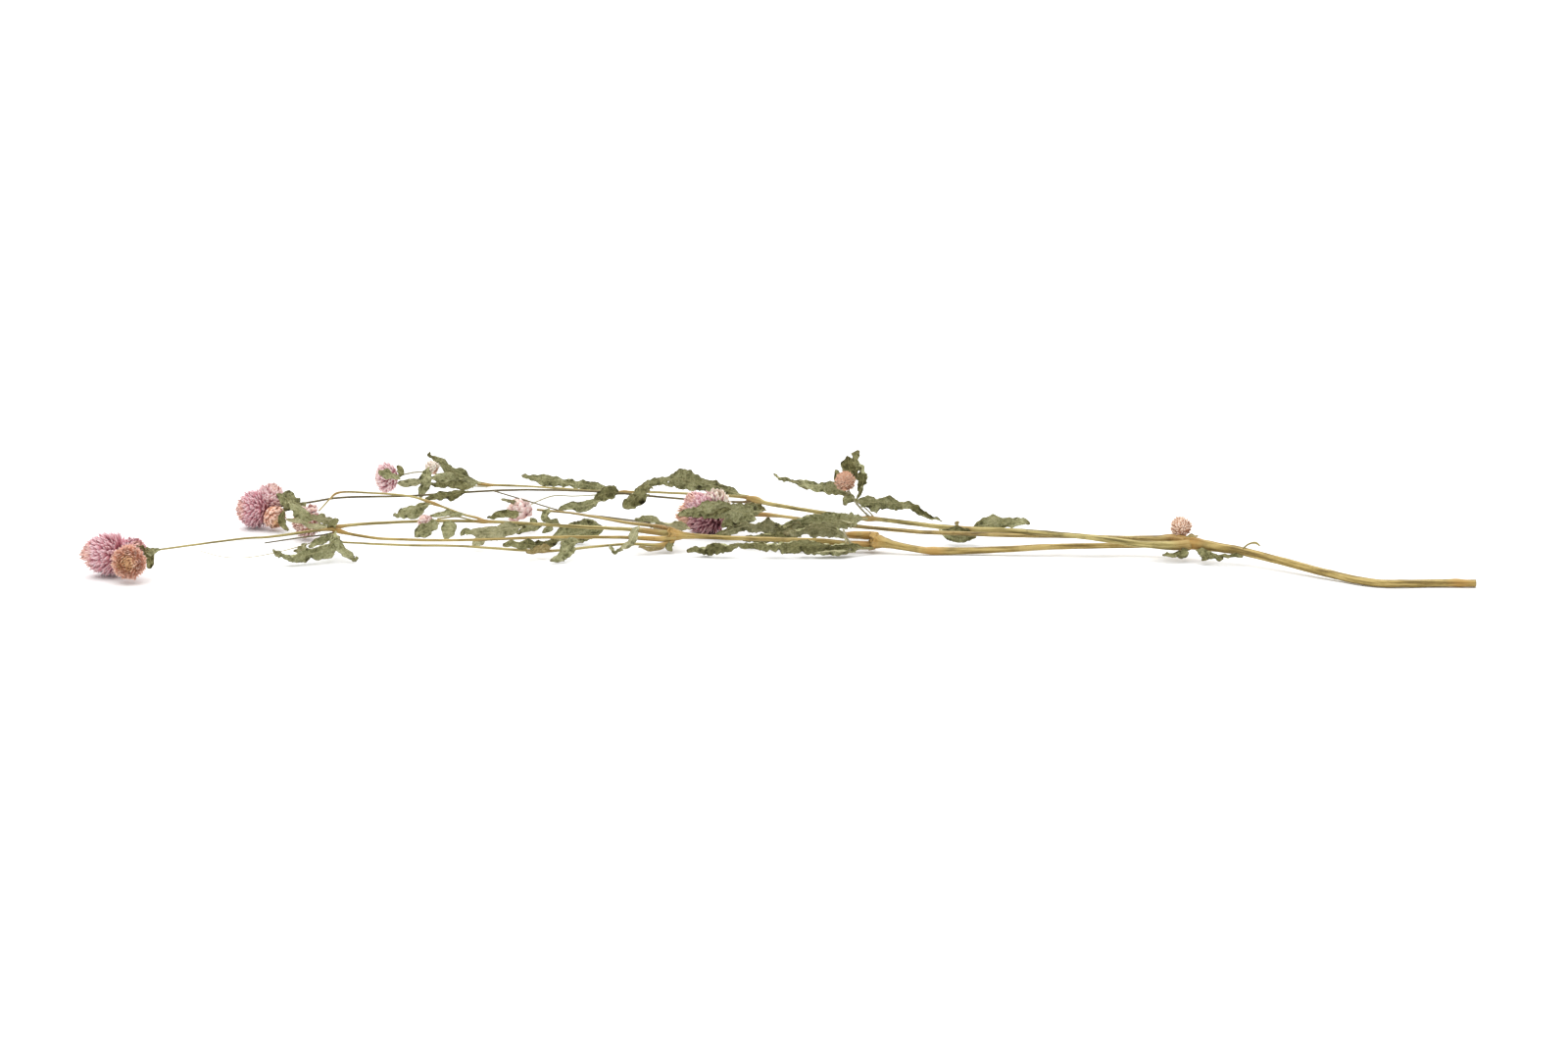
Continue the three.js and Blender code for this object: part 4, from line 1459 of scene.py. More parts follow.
@dataclass
class FlowerHeads:
    """All flower heads and buds."""

    finishes: Finishes

    def build(self) -> list[bpy.types.Object]:
        """Builds the heads.

        Returns:
            The finished pieces.
        """
        heads = [
            Head(
                "tip_head_bracts", (-291.2, -44, 9.7), (-1, -0.1, -0.02), 8.9, 23.0, 540, ROSE,
                nodes=("tip_head",),
            ),
            Head(
                "tip_side_head_bracts", (-279.8, -57, 9.0), (-0.1, -1, 0.1), 7.4, 12.0, 420, PEACH,
                lean=(34.0, 36.0), core=TAN_CORE, nodes=("tip_side_head",),
            ),
            Head(
                "tip_florets", (-279.6, -49, 11.6), (0.6, -0.3, 0.7), 6.4, 10.0, 170, ROSE, core=None,
                spread=0.7
            ),
            Head(
                "double_head_bracts", (-240, 55, 8.9), (-1, -0.3, 0.05), 8.4, 17.4, 440, ROSE,
                nodes=("double_head",),
            ),
            Head(
                "double_head_upper_bracts", (-234.0, 58, 13.0), (0.35, -0.15, 0.9), 6.9, 14.0, 230, FADED_ROSE,
                spread=0.8, nodes=("double_head_upper",),
            ),
            Head(
                "double_head_lower_bracts", (-231.6, 50, 6.8), (0.6, -0.6, -0.5), 5.6, 11.0, 130, PEACH,
                core=TAN_CORE, spread=0.8, nodes=("double_head_lower",),
            ),
            Head(
                "pale_head_bracts", (-213.6, 30, 8.1), (-0.7, -0.7, 0.1), 7.0, 13.0, 170, BLUSH,
                core=TAN_CORE, nodes=("pale_head",),
            ),
            Head(
                "pale_head_petals", (-211.4, 28, 12.6), (0.15, -0.2, 1), 2.6, 9.6, 14, BLUSH, Slot.PALE,
                lean=(2.0, 30.0), core=None, spread=0.4, bract_width=0.8
            ),
            Head(
                "oval_head_bracts", (-182.2, 86, 17.5), (-1, -0.1, -0.05), 7.2, 11.4, 240, FADED_ROSE,
                nodes=("oval_head",),
            ),
            Head(
                "hairy_bud_bracts", (-161.8, 88, 21.5), (-0.55, -0.1, 0.75), 3.1, 7.8, 80, CREAM, Slot.PALE,
                lean=(14.0, 66.0), core=TAN_CORE, nodes=("hairy_bud",),
            ),
            Head(
                "beige_bud_bracts", (-118.6, 50, 9.4), (-0.5, -0.2, 0.8), 5.3, 11.4, 62, BLUSH, Slot.PALE,
                lean=(26.0, 78.0), bract_width=1.5, core=TAN_CORE, nodes=("beige_bud",),
            ),
            Head(
                "upright_bud_bracts", (30, 44, 23.7), (-0.05, -0.1, 1), 4.6, 10.2, 190, SALMON,
                lean=(8.0, 54.0), core=TAN_CORE, nodes=("upright_bud",),
            ),
            # painted shade: the mauve body is darker than the rose crown over its top, partly the head's own colour
            Head(
                "middle_head_bracts", (-33.6, 42.4, 8.9), (-1, -0.1, 0.0), 8.9, 26.0, 480, SHADED_MAUVE,
                nodes=("middle_head",),
            ),
            Head(
                "middle_head_crown", (-35.4, 42, 11.2), (-0.6, -0.2, 0.8), 6.9, 19.0, 210, ROSE, core=None,
                spread=0.55
            ),
            Head(
                "middle_head_tuft", (-29.0, 45, 12.4), (0.2, -0.3, 1), 7.0, 15.0, 120, CREAM, Slot.PALE,
                lean=(4.0, 30.0), spread=0.5, core=None, jitter=0.3
            ),
            Head(
                "wrapped_bud_bracts", (-158.0, 11.4, 11.8), (-0.7, -0.2, 0.6), 3.6, 8.0, 80, BLUSH, core=TAN_CORE,
                nodes=("wrapped_bud",),
            ),
            Head(
                "joint_bud_bracts", (178.3, -7, 13.4), (-0.5, -0.1, 0.85), 4.5, 10.2, 210, DUSTY, Slot.PALE,
                lean=(14.0, 62.0), core=TAN_CORE, nodes=("joint_bud",),
            ),
        ]
        return [head.dress(self.finishes) for head in heads]


@dataclass
class Foliage:
    """All leaves and leafy bracts."""

    finishes: Finishes

    def build(self) -> list[bpy.types.Object]:
        """Builds the leaves group by group.

        Returns:
            The finished pieces.
        """
        groups: tuple[Callable[[], list[Leaf]], ...] = (
            self._tip, self._joint_i, self._back, self._fan, self._middle, self._front, self._upright, self._stem,
        )
        return [leaf.dress(self.finishes) for group in groups for leaf in group()]

    @staticmethod
    def _tip() -> list[Leaf]:
        """Lists the leaves at the far left heads."""
        return [
            Leaf(
                "tip_leaf_blade", [(-274.5, -50.5, 13.6), (-271.6, -52.5, 11.0), (-272.4, -54, 5.4)], 3.2,
                DARK_LEAF, SAGE_LEAF, turn=10, curl=(0.9, 1.2), ragged=0.34, tip=0.6, nodes=("tip_leaf",),
            ),
            Leaf(
                "tip_leaf_corner", [(-274, -52, 12.4), (-270, -52.5, 13.2), (-267.6, -52.6, 12.6)], 1.6,
                SAGE_LEAF, ragged=0.3
            ),
            Leaf(
                "tip_leaf_back", [(-273.4, -51, 12.4), (-275.4, -52, 14.4), (-277.4, -52.6, 15.2)], 1.4,
                DARK_LEAF, curl=(1.2, 0.8), ragged=0.3
            ),
            Leaf(
                "double_head_leaf", [(-219.4, 48, 11.6), (-223.8, 46, 15.0), (-229.6, 46, 17.6)], 4.3,
                SAGE_LEAF, turn=14, curl=(1.1, 0.7), crinkle=0.9, ragged=0.22
            ),
            Leaf(
                "pale_head_leaf", [(-221, 22, 19.0), (-218, 21, 16.6), (-214.6, 20.6, 13.6), (-209, 21, 11.2)],
                3.2, SAGE_LEAF, DARK_LEAF, turn=-10, curl=(1.1, 0.8), crinkle=0.8, ragged=0.25
            ),
            Leaf(
                "double_head_stalk", [(-218, 52, 11.6), (-224, 50.4, 10.2), (-231, 49, 9.0)], 0.9,
                DARK_LEAF, curl=(1.8, 1.4), ragged=0.1
            ),
            Leaf(
                "double_head_bract", [(-226, 45, 10.4), (-227, 42.6, 6.0), (-223.6, 41, 1.8)], 1.9,
                DARK_LEAF, curl=(1.4, 1.0), ragged=0.25
            ),
            Leaf(
                "link_leaf_blade",
                [(-221.6, 44, 15.4), (-218.6, 43, 12.8), (-214.6, 41, 9.6), (-209, 39, 7.4)], 3.8, SAGE_LEAF,
                DARK_LEAF, turn=-16, curl=(1.1, 0.7), ragged=0.22, nodes=("link_leaf",),
            ),
        ]

    @staticmethod
    def _joint_i() -> list[Leaf]:
        """Lists the leaves at the joint behind the tip stem."""
        return [
            Leaf(
                "long_bract", [(-200, 6, 10.4), (-206, 10, 10.2), (-213, 13, 11.4), (-221, 15, 12.8)], 1.3,
                PALE_LEAF, curl=(1.2, 0.6), crinkle=0.2, slot=Slot.PALE_LEAF
            ),
            Leaf(
                "pale_bract", [(-198, 8, 11.4), (-203, 11, 13.6), (-210, 13, 14.2)], 2.5, PALE_LEAF, turn=10,
                curl=(0.8, 0.6), slot=Slot.PALE_LEAF
            ),
            Leaf(
                "joint_bract", [(-198, 2, 11.0), (-199.5, 0, 13.2), (-196, 1, 15.4)], 2.0, DARK_LEAF,
                curl=(1.5, 1.0)
            ),
            Leaf(
                "crescent_leaf_blade",
                [
                    (-197, -3, 10.8), (-197, -9, 8.8), (-199, -16, 6.2), (-207, -20, 4.3), (-216, -23, 4.6),
                    (-222.4, -25, 7.2)
                ],
                3.9, SAGE_LEAF, SAGE_LEAF, Slot.DARK_LEAF, turn=20, curl=(0.9, 1.4), crinkle=0.9, ragged=0.26,
                tip=0.9, nodes=("crescent_leaf",),
            ),
            Leaf(
                "inner_leaf", [(-198, -6, 10.2), (-203, -10, 8.2), (-208, -12, 5.4)], 2.2, SAGE_LEAF,
                DARK_LEAF, curl=(1.4, 0.5)
            ),
            Leaf(
                "inner_fold", [(-209, -12, 7.4), (-211.4, -15, 5.6), (-214.4, -17, 5.0)], 1.6, PALE_LEAF,
                curl=(1.0, 1.2)
            ),
            Leaf(
                "drooping_leaf_blade",
                [(-196, -8, 10.2), (-193.6, -14, 7.6), (-190.6, -17, 4.8), (-188, -17.6, 1.3)], 3.1, SAGE_LEAF,
                DARK_LEAF, Slot.DARK_LEAF, turn=-18, curl=(1.1, 1.5), crinkle=0.8, ragged=0.24,
                nodes=("drooping_leaf",),
            ),
            Leaf(
                "drooping_curl", [(-188.6, -17, 2.6), (-187, -17.4, 1.4), (-185.6, -17.2, 2.0)], 1.1,
                DARK_LEAF, curl=(1.8, 1.6)
            ),
        ]

    @staticmethod
    def _back() -> list[Leaf]:
        """Lists the leaves round the oval head and the back joint."""
        return [
            Leaf(
                "oval_head_leaf", [(-176, 79, 18.0), (-181, 77, 20.8), (-186, 77, 22.2)], 2.9, SAGE_LEAF,
                turn=18, curl=(0.9, 0.7)
            ),
            Leaf(
                "oval_head_scrap", [(-176.6, 84, 18.0), (-176.2, 84, 21.0), (-177.6, 84, 23.6)], 1.6,
                DARK_LEAF, ragged=0.3
            ),
            Leaf(
                "oval_head_bract", [(-164, 79, 17.8), (-170, 79, 16.4), (-178, 80, 15.8)], 1.9, PALE_LEAF,
                curl=(1.0, 1.2)
            ),
            Leaf(
                "upright_leaf_blade",
                [(-140, 88, 14.6), (-147, 91, 17.0), (-154, 92, 20.5), (-162.6, 92, 26.4)], 3.3, SAGE_LEAF,
                DARK_LEAF, turn=14, twist=-30, curl=(0.9, 1.2), crinkle=0.9, ragged=0.2,
                nodes=("upright_leaf",),
            ),
            Leaf(
                "upright_leaf_hook", [(-162, 92, 25.4), (-163.4, 92, 27.2), (-163.2, 92, 28.6)], 0.8,
                DARK_LEAF, curl=(1.6, 1.2)
            ),
            Leaf(
                "spread_leaf_blade", [(-139, 83, 15.4), (-147, 80, 17.2), (-156, 79, 18.8), (-162, 79, 19.0)],
                3.2, SAGE_LEAF, DARK_LEAF, turn=-14, curl=(0.9, 1.3), crinkle=0.9, nodes=("spread_leaf",),
            ),
            Leaf(
                "dark_back_leaf", [(-142, 79, 14.2), (-152, 77, 15.6), (-163, 76, 17.0)], 2.2, DARK_LEAF,
                DARK_LEAF, curl=(1.3, 1.0), crinkle=0.9, ragged=0.25
            ),
            Leaf(
                "hanging_leaf_blade",
                [(-162.4, 76, 24.4), (-163.6, 73, 20.0), (-164.8, 71, 15.0), (-166.6, 70, 11.2)], 3.0,
                SAGE_LEAF, DARK_LEAF, turn=12, curl=(1.1, 0.9), crinkle=0.9, nodes=("hanging_leaf",),
            ),
            Leaf(
                "crinkled_back_leaf", [(-143, 62, 15.8), (-152, 60, 14.4), (-163, 60, 12.6)], 2.3, DARK_LEAF,
                SAGE_LEAF, curl=(1.5, 1.2), crinkle=1.0, ragged=0.25
            ),
            Leaf(
                "shoot_leaf_blade", [(-158, 35, 15.4), (-163, 32, 14.6), (-169, 30, 13.0), (-174.6, 30, 11.0)],
                3.9, SAGE_LEAF, DARK_LEAF, Slot.DARK_LEAF, turn=16, curl=(0.8, 1.3), crinkle=0.9,
                nodes=("shoot_leaf",),
            ),
            Leaf(
                "wrapped_bud_leaf", [(-141, 14, 15.0), (-148, 9, 16.2), (-156, 8, 15.8)], 1.5, SAGE_LEAF,
                curl=(1.3, 1.0), crinkle=0.3
            ),
            Leaf(
                "wrapped_bud_bract", [(-147, 10, 13.2), (-147.6, 7.6, 9.4), (-149, 7.4, 4.8)], 3.2,
                SAGE_LEAF, curl=(0.6, 0.9), tip=0.6
            ),
            Leaf(
                "wrapped_bud_cup",
                [(-152, 9, 12.0), (-156.4, 6.0, 10.8), (-160.4, 5.8, 8.6), (-163, 6.2, 6.4)], 3.3, SAGE_LEAF,
                DARK_LEAF, curl=(1.1, 1.1), crinkle=0.9, ragged=0.25
            ),
        ]

    @staticmethod
    def _fan() -> list[Leaf]:
        """Lists the leaves among the fan of stems."""
        return [
            Leaf(
                "pale_leaf_blade", [(-115, 11, 9.8), (-121, 9, 9.4), (-129, 8, 8.2), (-139, 8, 7.0)], 4.0,
                PALE_LEAF, PALE_LEAF, Slot.PALE_LEAF, turn=12, curl=(0.8, 0.9), tears=((0.55, 0.85, 0.08), ),
                nodes=("pale_leaf",),
            ),
            Leaf(
                "pale_leaf_lobe", [(-131, 7, 6.8), (-135, 6, 4.6), (-137, 6, 2.2)], 2.2, PALE_LEAF,
                slot=Slot.PALE_LEAF, curl=(1.0, 1.3)
            ),
            Leaf(
                "pale_leaf_curl", [(-137, 8, 8.0), (-140.6, 7.6, 8.6), (-142.5, 8, 7.0)], 1.3, SAGE_LEAF,
                DARK_LEAF, curl=(1.7, 1.0)
            ),
            Leaf(
                "bud_leaf_blade", [(-117.6, 44, 9.4), (-122, 42, 9.0), (-127, 41, 9.2), (-133, 42, 7.4)], 2.4,
                DARK_LEAF, SAGE_LEAF, Slot.DARK_LEAF, turn=-10, curl=(1.6, 1.2), crinkle=0.6,
                nodes=("bud_leaf",),
            ),
            Leaf(
                "grey_bud_leaf", [(-113.6, 45, 6.8), (-112.4, 44, 4.8), (-115, 43, 1.8)], 2.0, SAGE_LEAF,
                curl=(1.2, 0.8)
            ),
            Leaf(
                "bud_wisp", [(-119, 48, 12.0), (-123, 46, 14.6), (-127, 46, 15.4)], 0.9, PALE_LEAF,
                curl=(1.4, 0.9), crinkle=0.2
            ),
            Leaf(
                "under_bud_leaf", [(-112, 26, 8.4), (-118, 25, 7.0), (-124, 25, 6.4)], 1.9, DARK_LEAF,
                curl=(1.5, 1.1)
            ),
            Leaf(
                "pointed_bract", [(-106, 25, 8.8), (-112, 24, 7.0), (-119, 25, 4.4)], 2.1, SAGE_LEAF,
                curl=(1.0, 1.3), tip=0.65
            ),
            Leaf(
                "folded_joint_leaf", [(-106, -11, 6.0), (-112, -15, 7.6), (-117, -15, 8.0), (-122, -14, 7.4)],
                2.5, DARK_LEAF, SAGE_LEAF, Slot.DARK_LEAF, curl=(1.7, 1.1)
            ),
            Leaf(
                "beige_sheath", [(-101, -10, 5.0), (-106, -12, 4.8), (-112, -12.4, 3.6)], 2.0, BEIGE_LEAF,
                BEIGE_LEAF, curl=(1.2, 1.5), crinkle=0.3, ragged=0.1, ruffle=0.3, tip=0.6
            ),
            Leaf(
                "crumpled_leaf", [(-104, 30, 14.6), (-105.5, 27, 11.2), (-104, 25, 8.0), (-107, 24, 4.4)], 2.7,
                SAGE_LEAF, DARK_LEAF, curl=(1.8, 1.4), crinkle=1.2, ragged=0.36
            ),
            Leaf(
                "crumpled_fold", [(-104, 26, 9.6), (-100.6, 26, 8.2), (-99, 26, 5.8)], 1.4, SAGE_LEAF,
                DARK_LEAF, curl=(1.8, 1.4)
            ),
            Leaf(
                "broad_leaf_blade", [(-77.5, 18, 8.4), (-84, 21, 7.2), (-92, 22, 4.9), (-103, 22, 1.8)], 5.3,
                SAGE_LEAF, DARK_LEAF, turn=14, curl=(0.9, 0.7), crinkle=0.9, nodes=("broad_leaf",),
            ),
            Leaf(
                "low_dark_leaf", [(-98, 3, 5.4), (-104, 5, 3.8), (-111, 5, 2.9)], 2.1, DARK_LEAF,
                curl=(1.2, 1.4)
            ),
            Leaf(
                "pointed_leaf_blade",
                [(-89, -9, 7.4), (-91.5, -13, 7.8), (-95.5, -17, 4.8), (-100.5, -20, 0.7)], 3.7, SAGE_LEAF,
                DARK_LEAF, Slot.DARK_LEAF, turn=10, curl=(0.8, 1.1), crinkle=0.9, ragged=0.26,
                nodes=("pointed_leaf",),
            ),
            Leaf(
                "long_back_leaf_blade",
                [(-96, 90, 13.2), (-104, 92, 14.6), (-112, 92, 15.5), (-120.6, 92, 17.0)], 3.1, SAGE_LEAF,
                DARK_LEAF, turn=12, curl=(0.8, 1.2), crinkle=0.8, nodes=("long_back_leaf",),
            ),
            Leaf(
                "long_back_leaf_foot", [(-79, 87, 11.6), (-86, 90, 12.4), (-93, 91, 13.4), (-101.5, 91, 15.0)],
                2.6, SAGE_LEAF, DARK_LEAF, turn=16, curl=(0.8, 1.2), crinkle=0.7, tip=0.8
            ),
            Leaf(
                "round_leaf_blade", [(-74, 73, 12.8), (-79.5, 67, 14.0), (-84.4, 64, 12.0), (-85.4, 63, 8.2)],
                3.7, DARK_LEAF, SAGE_LEAF, Slot.DARK_LEAF, turn=8, curl=(1.3, 1.5), crinkle=0.7,
                nodes=("round_leaf",),
            ),
            Leaf(
                "mid_back_leaf", [(-82, 52, 13.4), (-88, 50, 11.6), (-95, 50, 11.6), (-101, 49, 9.6)], 2.7,
                SAGE_LEAF, curl=(1.0, 1.2), crinkle=0.8, ragged=0.25
            ),
            Leaf(
                "olive_leaf_blade", [(-60, 70, 14.4), (-62.5, 65, 15.4), (-66.5, 63, 12.0), (-71.5, 61, 7.8)],
                4.4, DARK_LEAF, SAGE_LEAF, turn=-12, curl=(1.2, 1.2), crinkle=1.0, ragged=0.22,
                nodes=("olive_leaf",),
            ),
            Leaf(
                "small_fan_leaf", [(-53, 18, 10.4), (-59, 20, 11.8), (-65, 20, 11.4)], 1.9, SAGE_LEAF,
                curl=(1.3, 0.8), crinkle=0.6
            ),
            Leaf(
                "strip_leaf", [(-62, -5, 13.8), (-64.6, -9, 10.4), (-66.4, -10, 7.2), (-70.6, -11, 4.4)], 1.8,
                PALE_LEAF, DARK_LEAF, curl=(0.9, 1.3), crinkle=0.8, ragged=0.3, slot=Slot.PALE_LEAF
            ),
            Leaf(
                "strip_curl", [(-69, -11, 4.2), (-73.6, -11, 3.8), (-75.2, -11, 6.4)], 1.2, SAGE_LEAF,
                DARK_LEAF, curl=(1.6, 1.2)
            ),
            Leaf(
                "flange_strap", [(-49.5, 1.4, 5.0), (-52.4, 0.4, 3.2), (-57.4, -0.4, 2.4), (-62.6, -0.6, 3.4)],
                1.0, BEIGE_LEAF, BEIGE_LEAF, curl=(1.2, 1.0), crinkle=0.3, ragged=0.1, ruffle=0.3
            ),
        ]

    @staticmethod
    def _middle() -> list[Leaf]:
        """Lists the leaves round the large middle head."""
        return [
            Leaf(
                "crest_leaf_blade",
                [
                    (-14, 72, 11.4), (-19, 79, 11.0), (-26, 83, 12.8), (-36, 84, 15.6), (-46, 84, 16.9),
                    (-56, 84, 16.6), (-66, 83, 13.6)
                ],
                5.1, SAGE_LEAF, DARK_LEAF, turn=14, curl=(0.9, 0.9), petiole=0.14, crinkle=1.0,
                tears=((0.74, 0.5, 0.03),), nodes=("crest_leaf",),
            ),
            Leaf(
                "ribbed_leaf_blade", [(-40, 14, 8.4), (-44, 17, 9.8), (-51, 19, 9.6), (-58, 20, 7.6)], 3.6,
                PALE_LEAF, PALE_LEAF, Slot.PALE_LEAF, turn=16, curl=(0.7, 1.0), nodes=("ribbed_leaf",),
            ),
            Leaf(
                "hanging_scrap", [(-47, 3, 5.2), (-49, 1, 3.2), (-48, 0, 1.0)], 1.4, DARK_LEAF,
                curl=(1.4, 1.0), crinkle=0.4
            ),
            Leaf(
                "cover_leaf_blade",
                [(-12, 35, 10.4), (-18, 29, 13.2), (-26, 26.5, 15.2), (-36, 27, 14.4), (-46, 29, 11.8)], 5.3,
                SAGE_LEAF, DARK_LEAF, turn=10, curl=(0.6, 0.9), crinkle=1.1, tip=0.75, nodes=("cover_leaf",),
            ),
            Leaf(
                "cover_leaf_fold", [(-21, 27, 15.4), (-26, 25.4, 14.8), (-31, 25.6, 12.6)], 2.2, DARK_LEAF,
                SAGE_LEAF, curl=(1.6, 1.5), crinkle=0.9, ragged=0.3
            ),
            Leaf(
                "head_side_leaf", [(-8, 42, 10.4), (-13, 36, 11.2), (-19, 33, 9.4), (-26, 32, 5.2)], 4.3,
                SAGE_LEAF, DARK_LEAF, turn=-12, curl=(1.0, 0.7), crinkle=1.0
            ),
            Leaf(
                "head_small_leaf", [(-6, 52, 8.8), (-11, 55, 10.8), (-16, 55, 11.2)], 2.3, DARK_LEAF,
                curl=(1.0, 1.3)
            ),
            Leaf(
                "head_front_leaf", [(-18, 30, 5.6), (-25, 28, 3.2), (-30, 28, 1.2)], 2.0, DARK_LEAF,
                curl=(1.2, 1.0)
            ),
            Leaf(
                "middle_leaf_blade",
                [(20, 15, 7.4), (8, 18, 8.0), (-2, 20, 9.0), (-13, 21, 8.8), (-26, 19, 5.8)],
                4.3, PALE_LEAF, DARK_LEAF, Slot.PALE_LEAF, turn=26, curl=(0.8, 1.6), crinkle=1.1, ragged=0.24,
                nodes=("middle_leaf",),
            ),
            Leaf(
                "middle_leaf_shadow", [(10, 12, 5.4), (-4, 12, 5.6), (-18, 12, 4.4)], 3.0, DARK_LEAF,
                DARK_LEAF, turn=10, curl=(1.0, 1.2), crinkle=0.9
            ),
        ]

    @staticmethod
    def _front() -> list[Leaf]:
        """Lists the leaves in front, between the cupped joint and the middle head."""
        return [
            Leaf(
                "crossing_leaf_blade",
                [(40, 38, 8.0), (33, 27, 10.0), (26, 21, 10.8), (13, 19, 10.2), (-2, 16, 7.8)], 4.2, SAGE_LEAF,
                PALE_LEAF, turn=12, curl=(1.3, 0.7), petiole=0.1, crinkle=1.1, ragged=0.26,
                nodes=("crossing_leaf",),
            ),
            Leaf(
                "folded_leaf_blade", [(30, -3, 5.0), (29, 0, 8.0), (24, 5, 10.0), (15, 9, 9.6), (2, 9.4, 7.4)],
                4.5, PALE_LEAF, SAGE_LEAF, Slot.PALE_LEAF, turn=20, curl=(1.0, 1.5), crinkle=0.9, petiole=0.1,
                nodes=("folded_leaf",),
            ),
            Leaf(
                "grey_stub_leaf", [(35, 13, 10.8), (30, 14, 11.0), (24, 14, 10.0), (17, 14, 8.4)], 2.2,
                SAGE_LEAF, turn=30, curl=(1.2, 0.8)
            ),
            Leaf(
                "bottom_leaf_blade",
                [
                    (42, 0, 2.8), (37, -3.2, 3.4), (30, -5.6, 4.2), (18, -6.4, 4.9), (4, -6.4, 5.3),
                    (-10, -6.4, 5.5), (-22, -6.4, 5.4)
                ],
                3.7, DARK_LEAF, SAGE_LEAF, Slot.DARK_LEAF, turn=24, curl=(1.0, 1.2), petiole=0.08, crinkle=1.0,
                ragged=0.2, nodes=("bottom_leaf",),
            ),
            Leaf(
                "bottom_leaf_end", [(-16, -6, 5.6), (-26, -6, 4.8), (-35, -5.6, 3.4), (-41, -5.6, 2.4)], 3.1,
                DARK_LEAF, SAGE_LEAF, turn=20, curl=(1.2, 1.3), crinkle=1.0, ragged=0.3
            ),
            Leaf(
                "bottom_leaf_fold", [(34, -6, 2.2), (25, -8, 3.0), (14, -8.4, 2.0)], 1.9, SAGE_LEAF,
                turn=30, curl=(0.8, 1.5)
            ),
        ]

    @staticmethod
    def _upright() -> list[Leaf]:
        """Lists the leaves under the upright bud."""
        return [
            Leaf(
                "bud_top_leaf", [(33.4, 47, 20.0), (32.4, 50, 24.6), (31.6, 51, 29.0), (31.4, 51, 34.4)], 3.9,
                DARK_LEAF, SAGE_LEAF, Slot.DARK_LEAF, turn=-8, curl=(0.9, 1.0), crinkle=1.1, ragged=0.4,
                tip=1.1
            ),
            Leaf(
                "bud_left_lobe", [(30, 49, 22.0), (27, 50, 25.6), (25.6, 50, 28.0)], 2.4, DARK_LEAF,
                curl=(1.3, 0.8), ragged=0.4
            ),
            Leaf(
                "tall_leaf_blade",
                [
                    (35, 43, 15.2), (36.8, 41, 20.0), (38.2, 39.6, 26.0), (37.8, 39.4, 31.0),
                    (35.4, 39.4, 35.4), (35.6, 39.6, 39.4)
                ],
                3.2, DARK_LEAF, SAGE_LEAF, Slot.DARK_LEAF, twist=80, curl=(1.2, 1.5), crinkle=1.2, ragged=0.36,
                tip=1.35, nodes=("tall_leaf",),
            ),
            Leaf(
                "crinkled_leaf_blade",
                [(34, 45, 16.4), (28, 49, 19.2), (20, 50, 20.4), (12, 50.6, 21.2), (5, 51, 23.0)],
                3.7, SAGE_LEAF, DARK_LEAF, curl=(1.3, 1.3), twist=-40, crinkle=1.2, ragged=0.4, tip=0.62,
                petiole=0.08, nodes=("crinkled_leaf",),
            ),
            Leaf(
                "crinkled_leaf_tip", [(9, 51, 22.2), (4, 51, 23.6), (0, 51, 24.6), (-2.4, 51, 26.6)], 1.2,
                SAGE_LEAF, DARK_LEAF, twist=60, curl=(1.5, 1.4), ragged=0.3, tip=0.7
            ),
            Leaf(
                "bud_small_leaf", [(35, 44, 15.6), (31.6, 43.6, 16.0), (29.0, 43, 13.6)], 2.1, SAGE_LEAF,
                curl=(1.0, 1.2)
            ),
            Leaf(
                "bud_base_leaf_blade",
                [(35.4, 43, 15.0), (40, 39, 16.0), (48, 38, 15.8), (55, 38, 14.8), (61.4, 38, 13.6)], 4.1,
                SAGE_LEAF, DARK_LEAF, turn=-18, curl=(1.3, 0.9), crinkle=1.0, ragged=0.2, petiole=0.03,
                nodes=("bud_base_leaf",),
            ),
            Leaf(
                "bud_base_leaf_tail", [(58, 38, 14.6), (62.4, 38, 12.6), (66, 37.6, 9.4), (74, 36, 6.8)], 1.8,
                DARK_LEAF, SAGE_LEAF, twist=70, curl=(1.6, 1.4), crinkle=0.8, ragged=0.25, tip=0.6
            ),
        ]

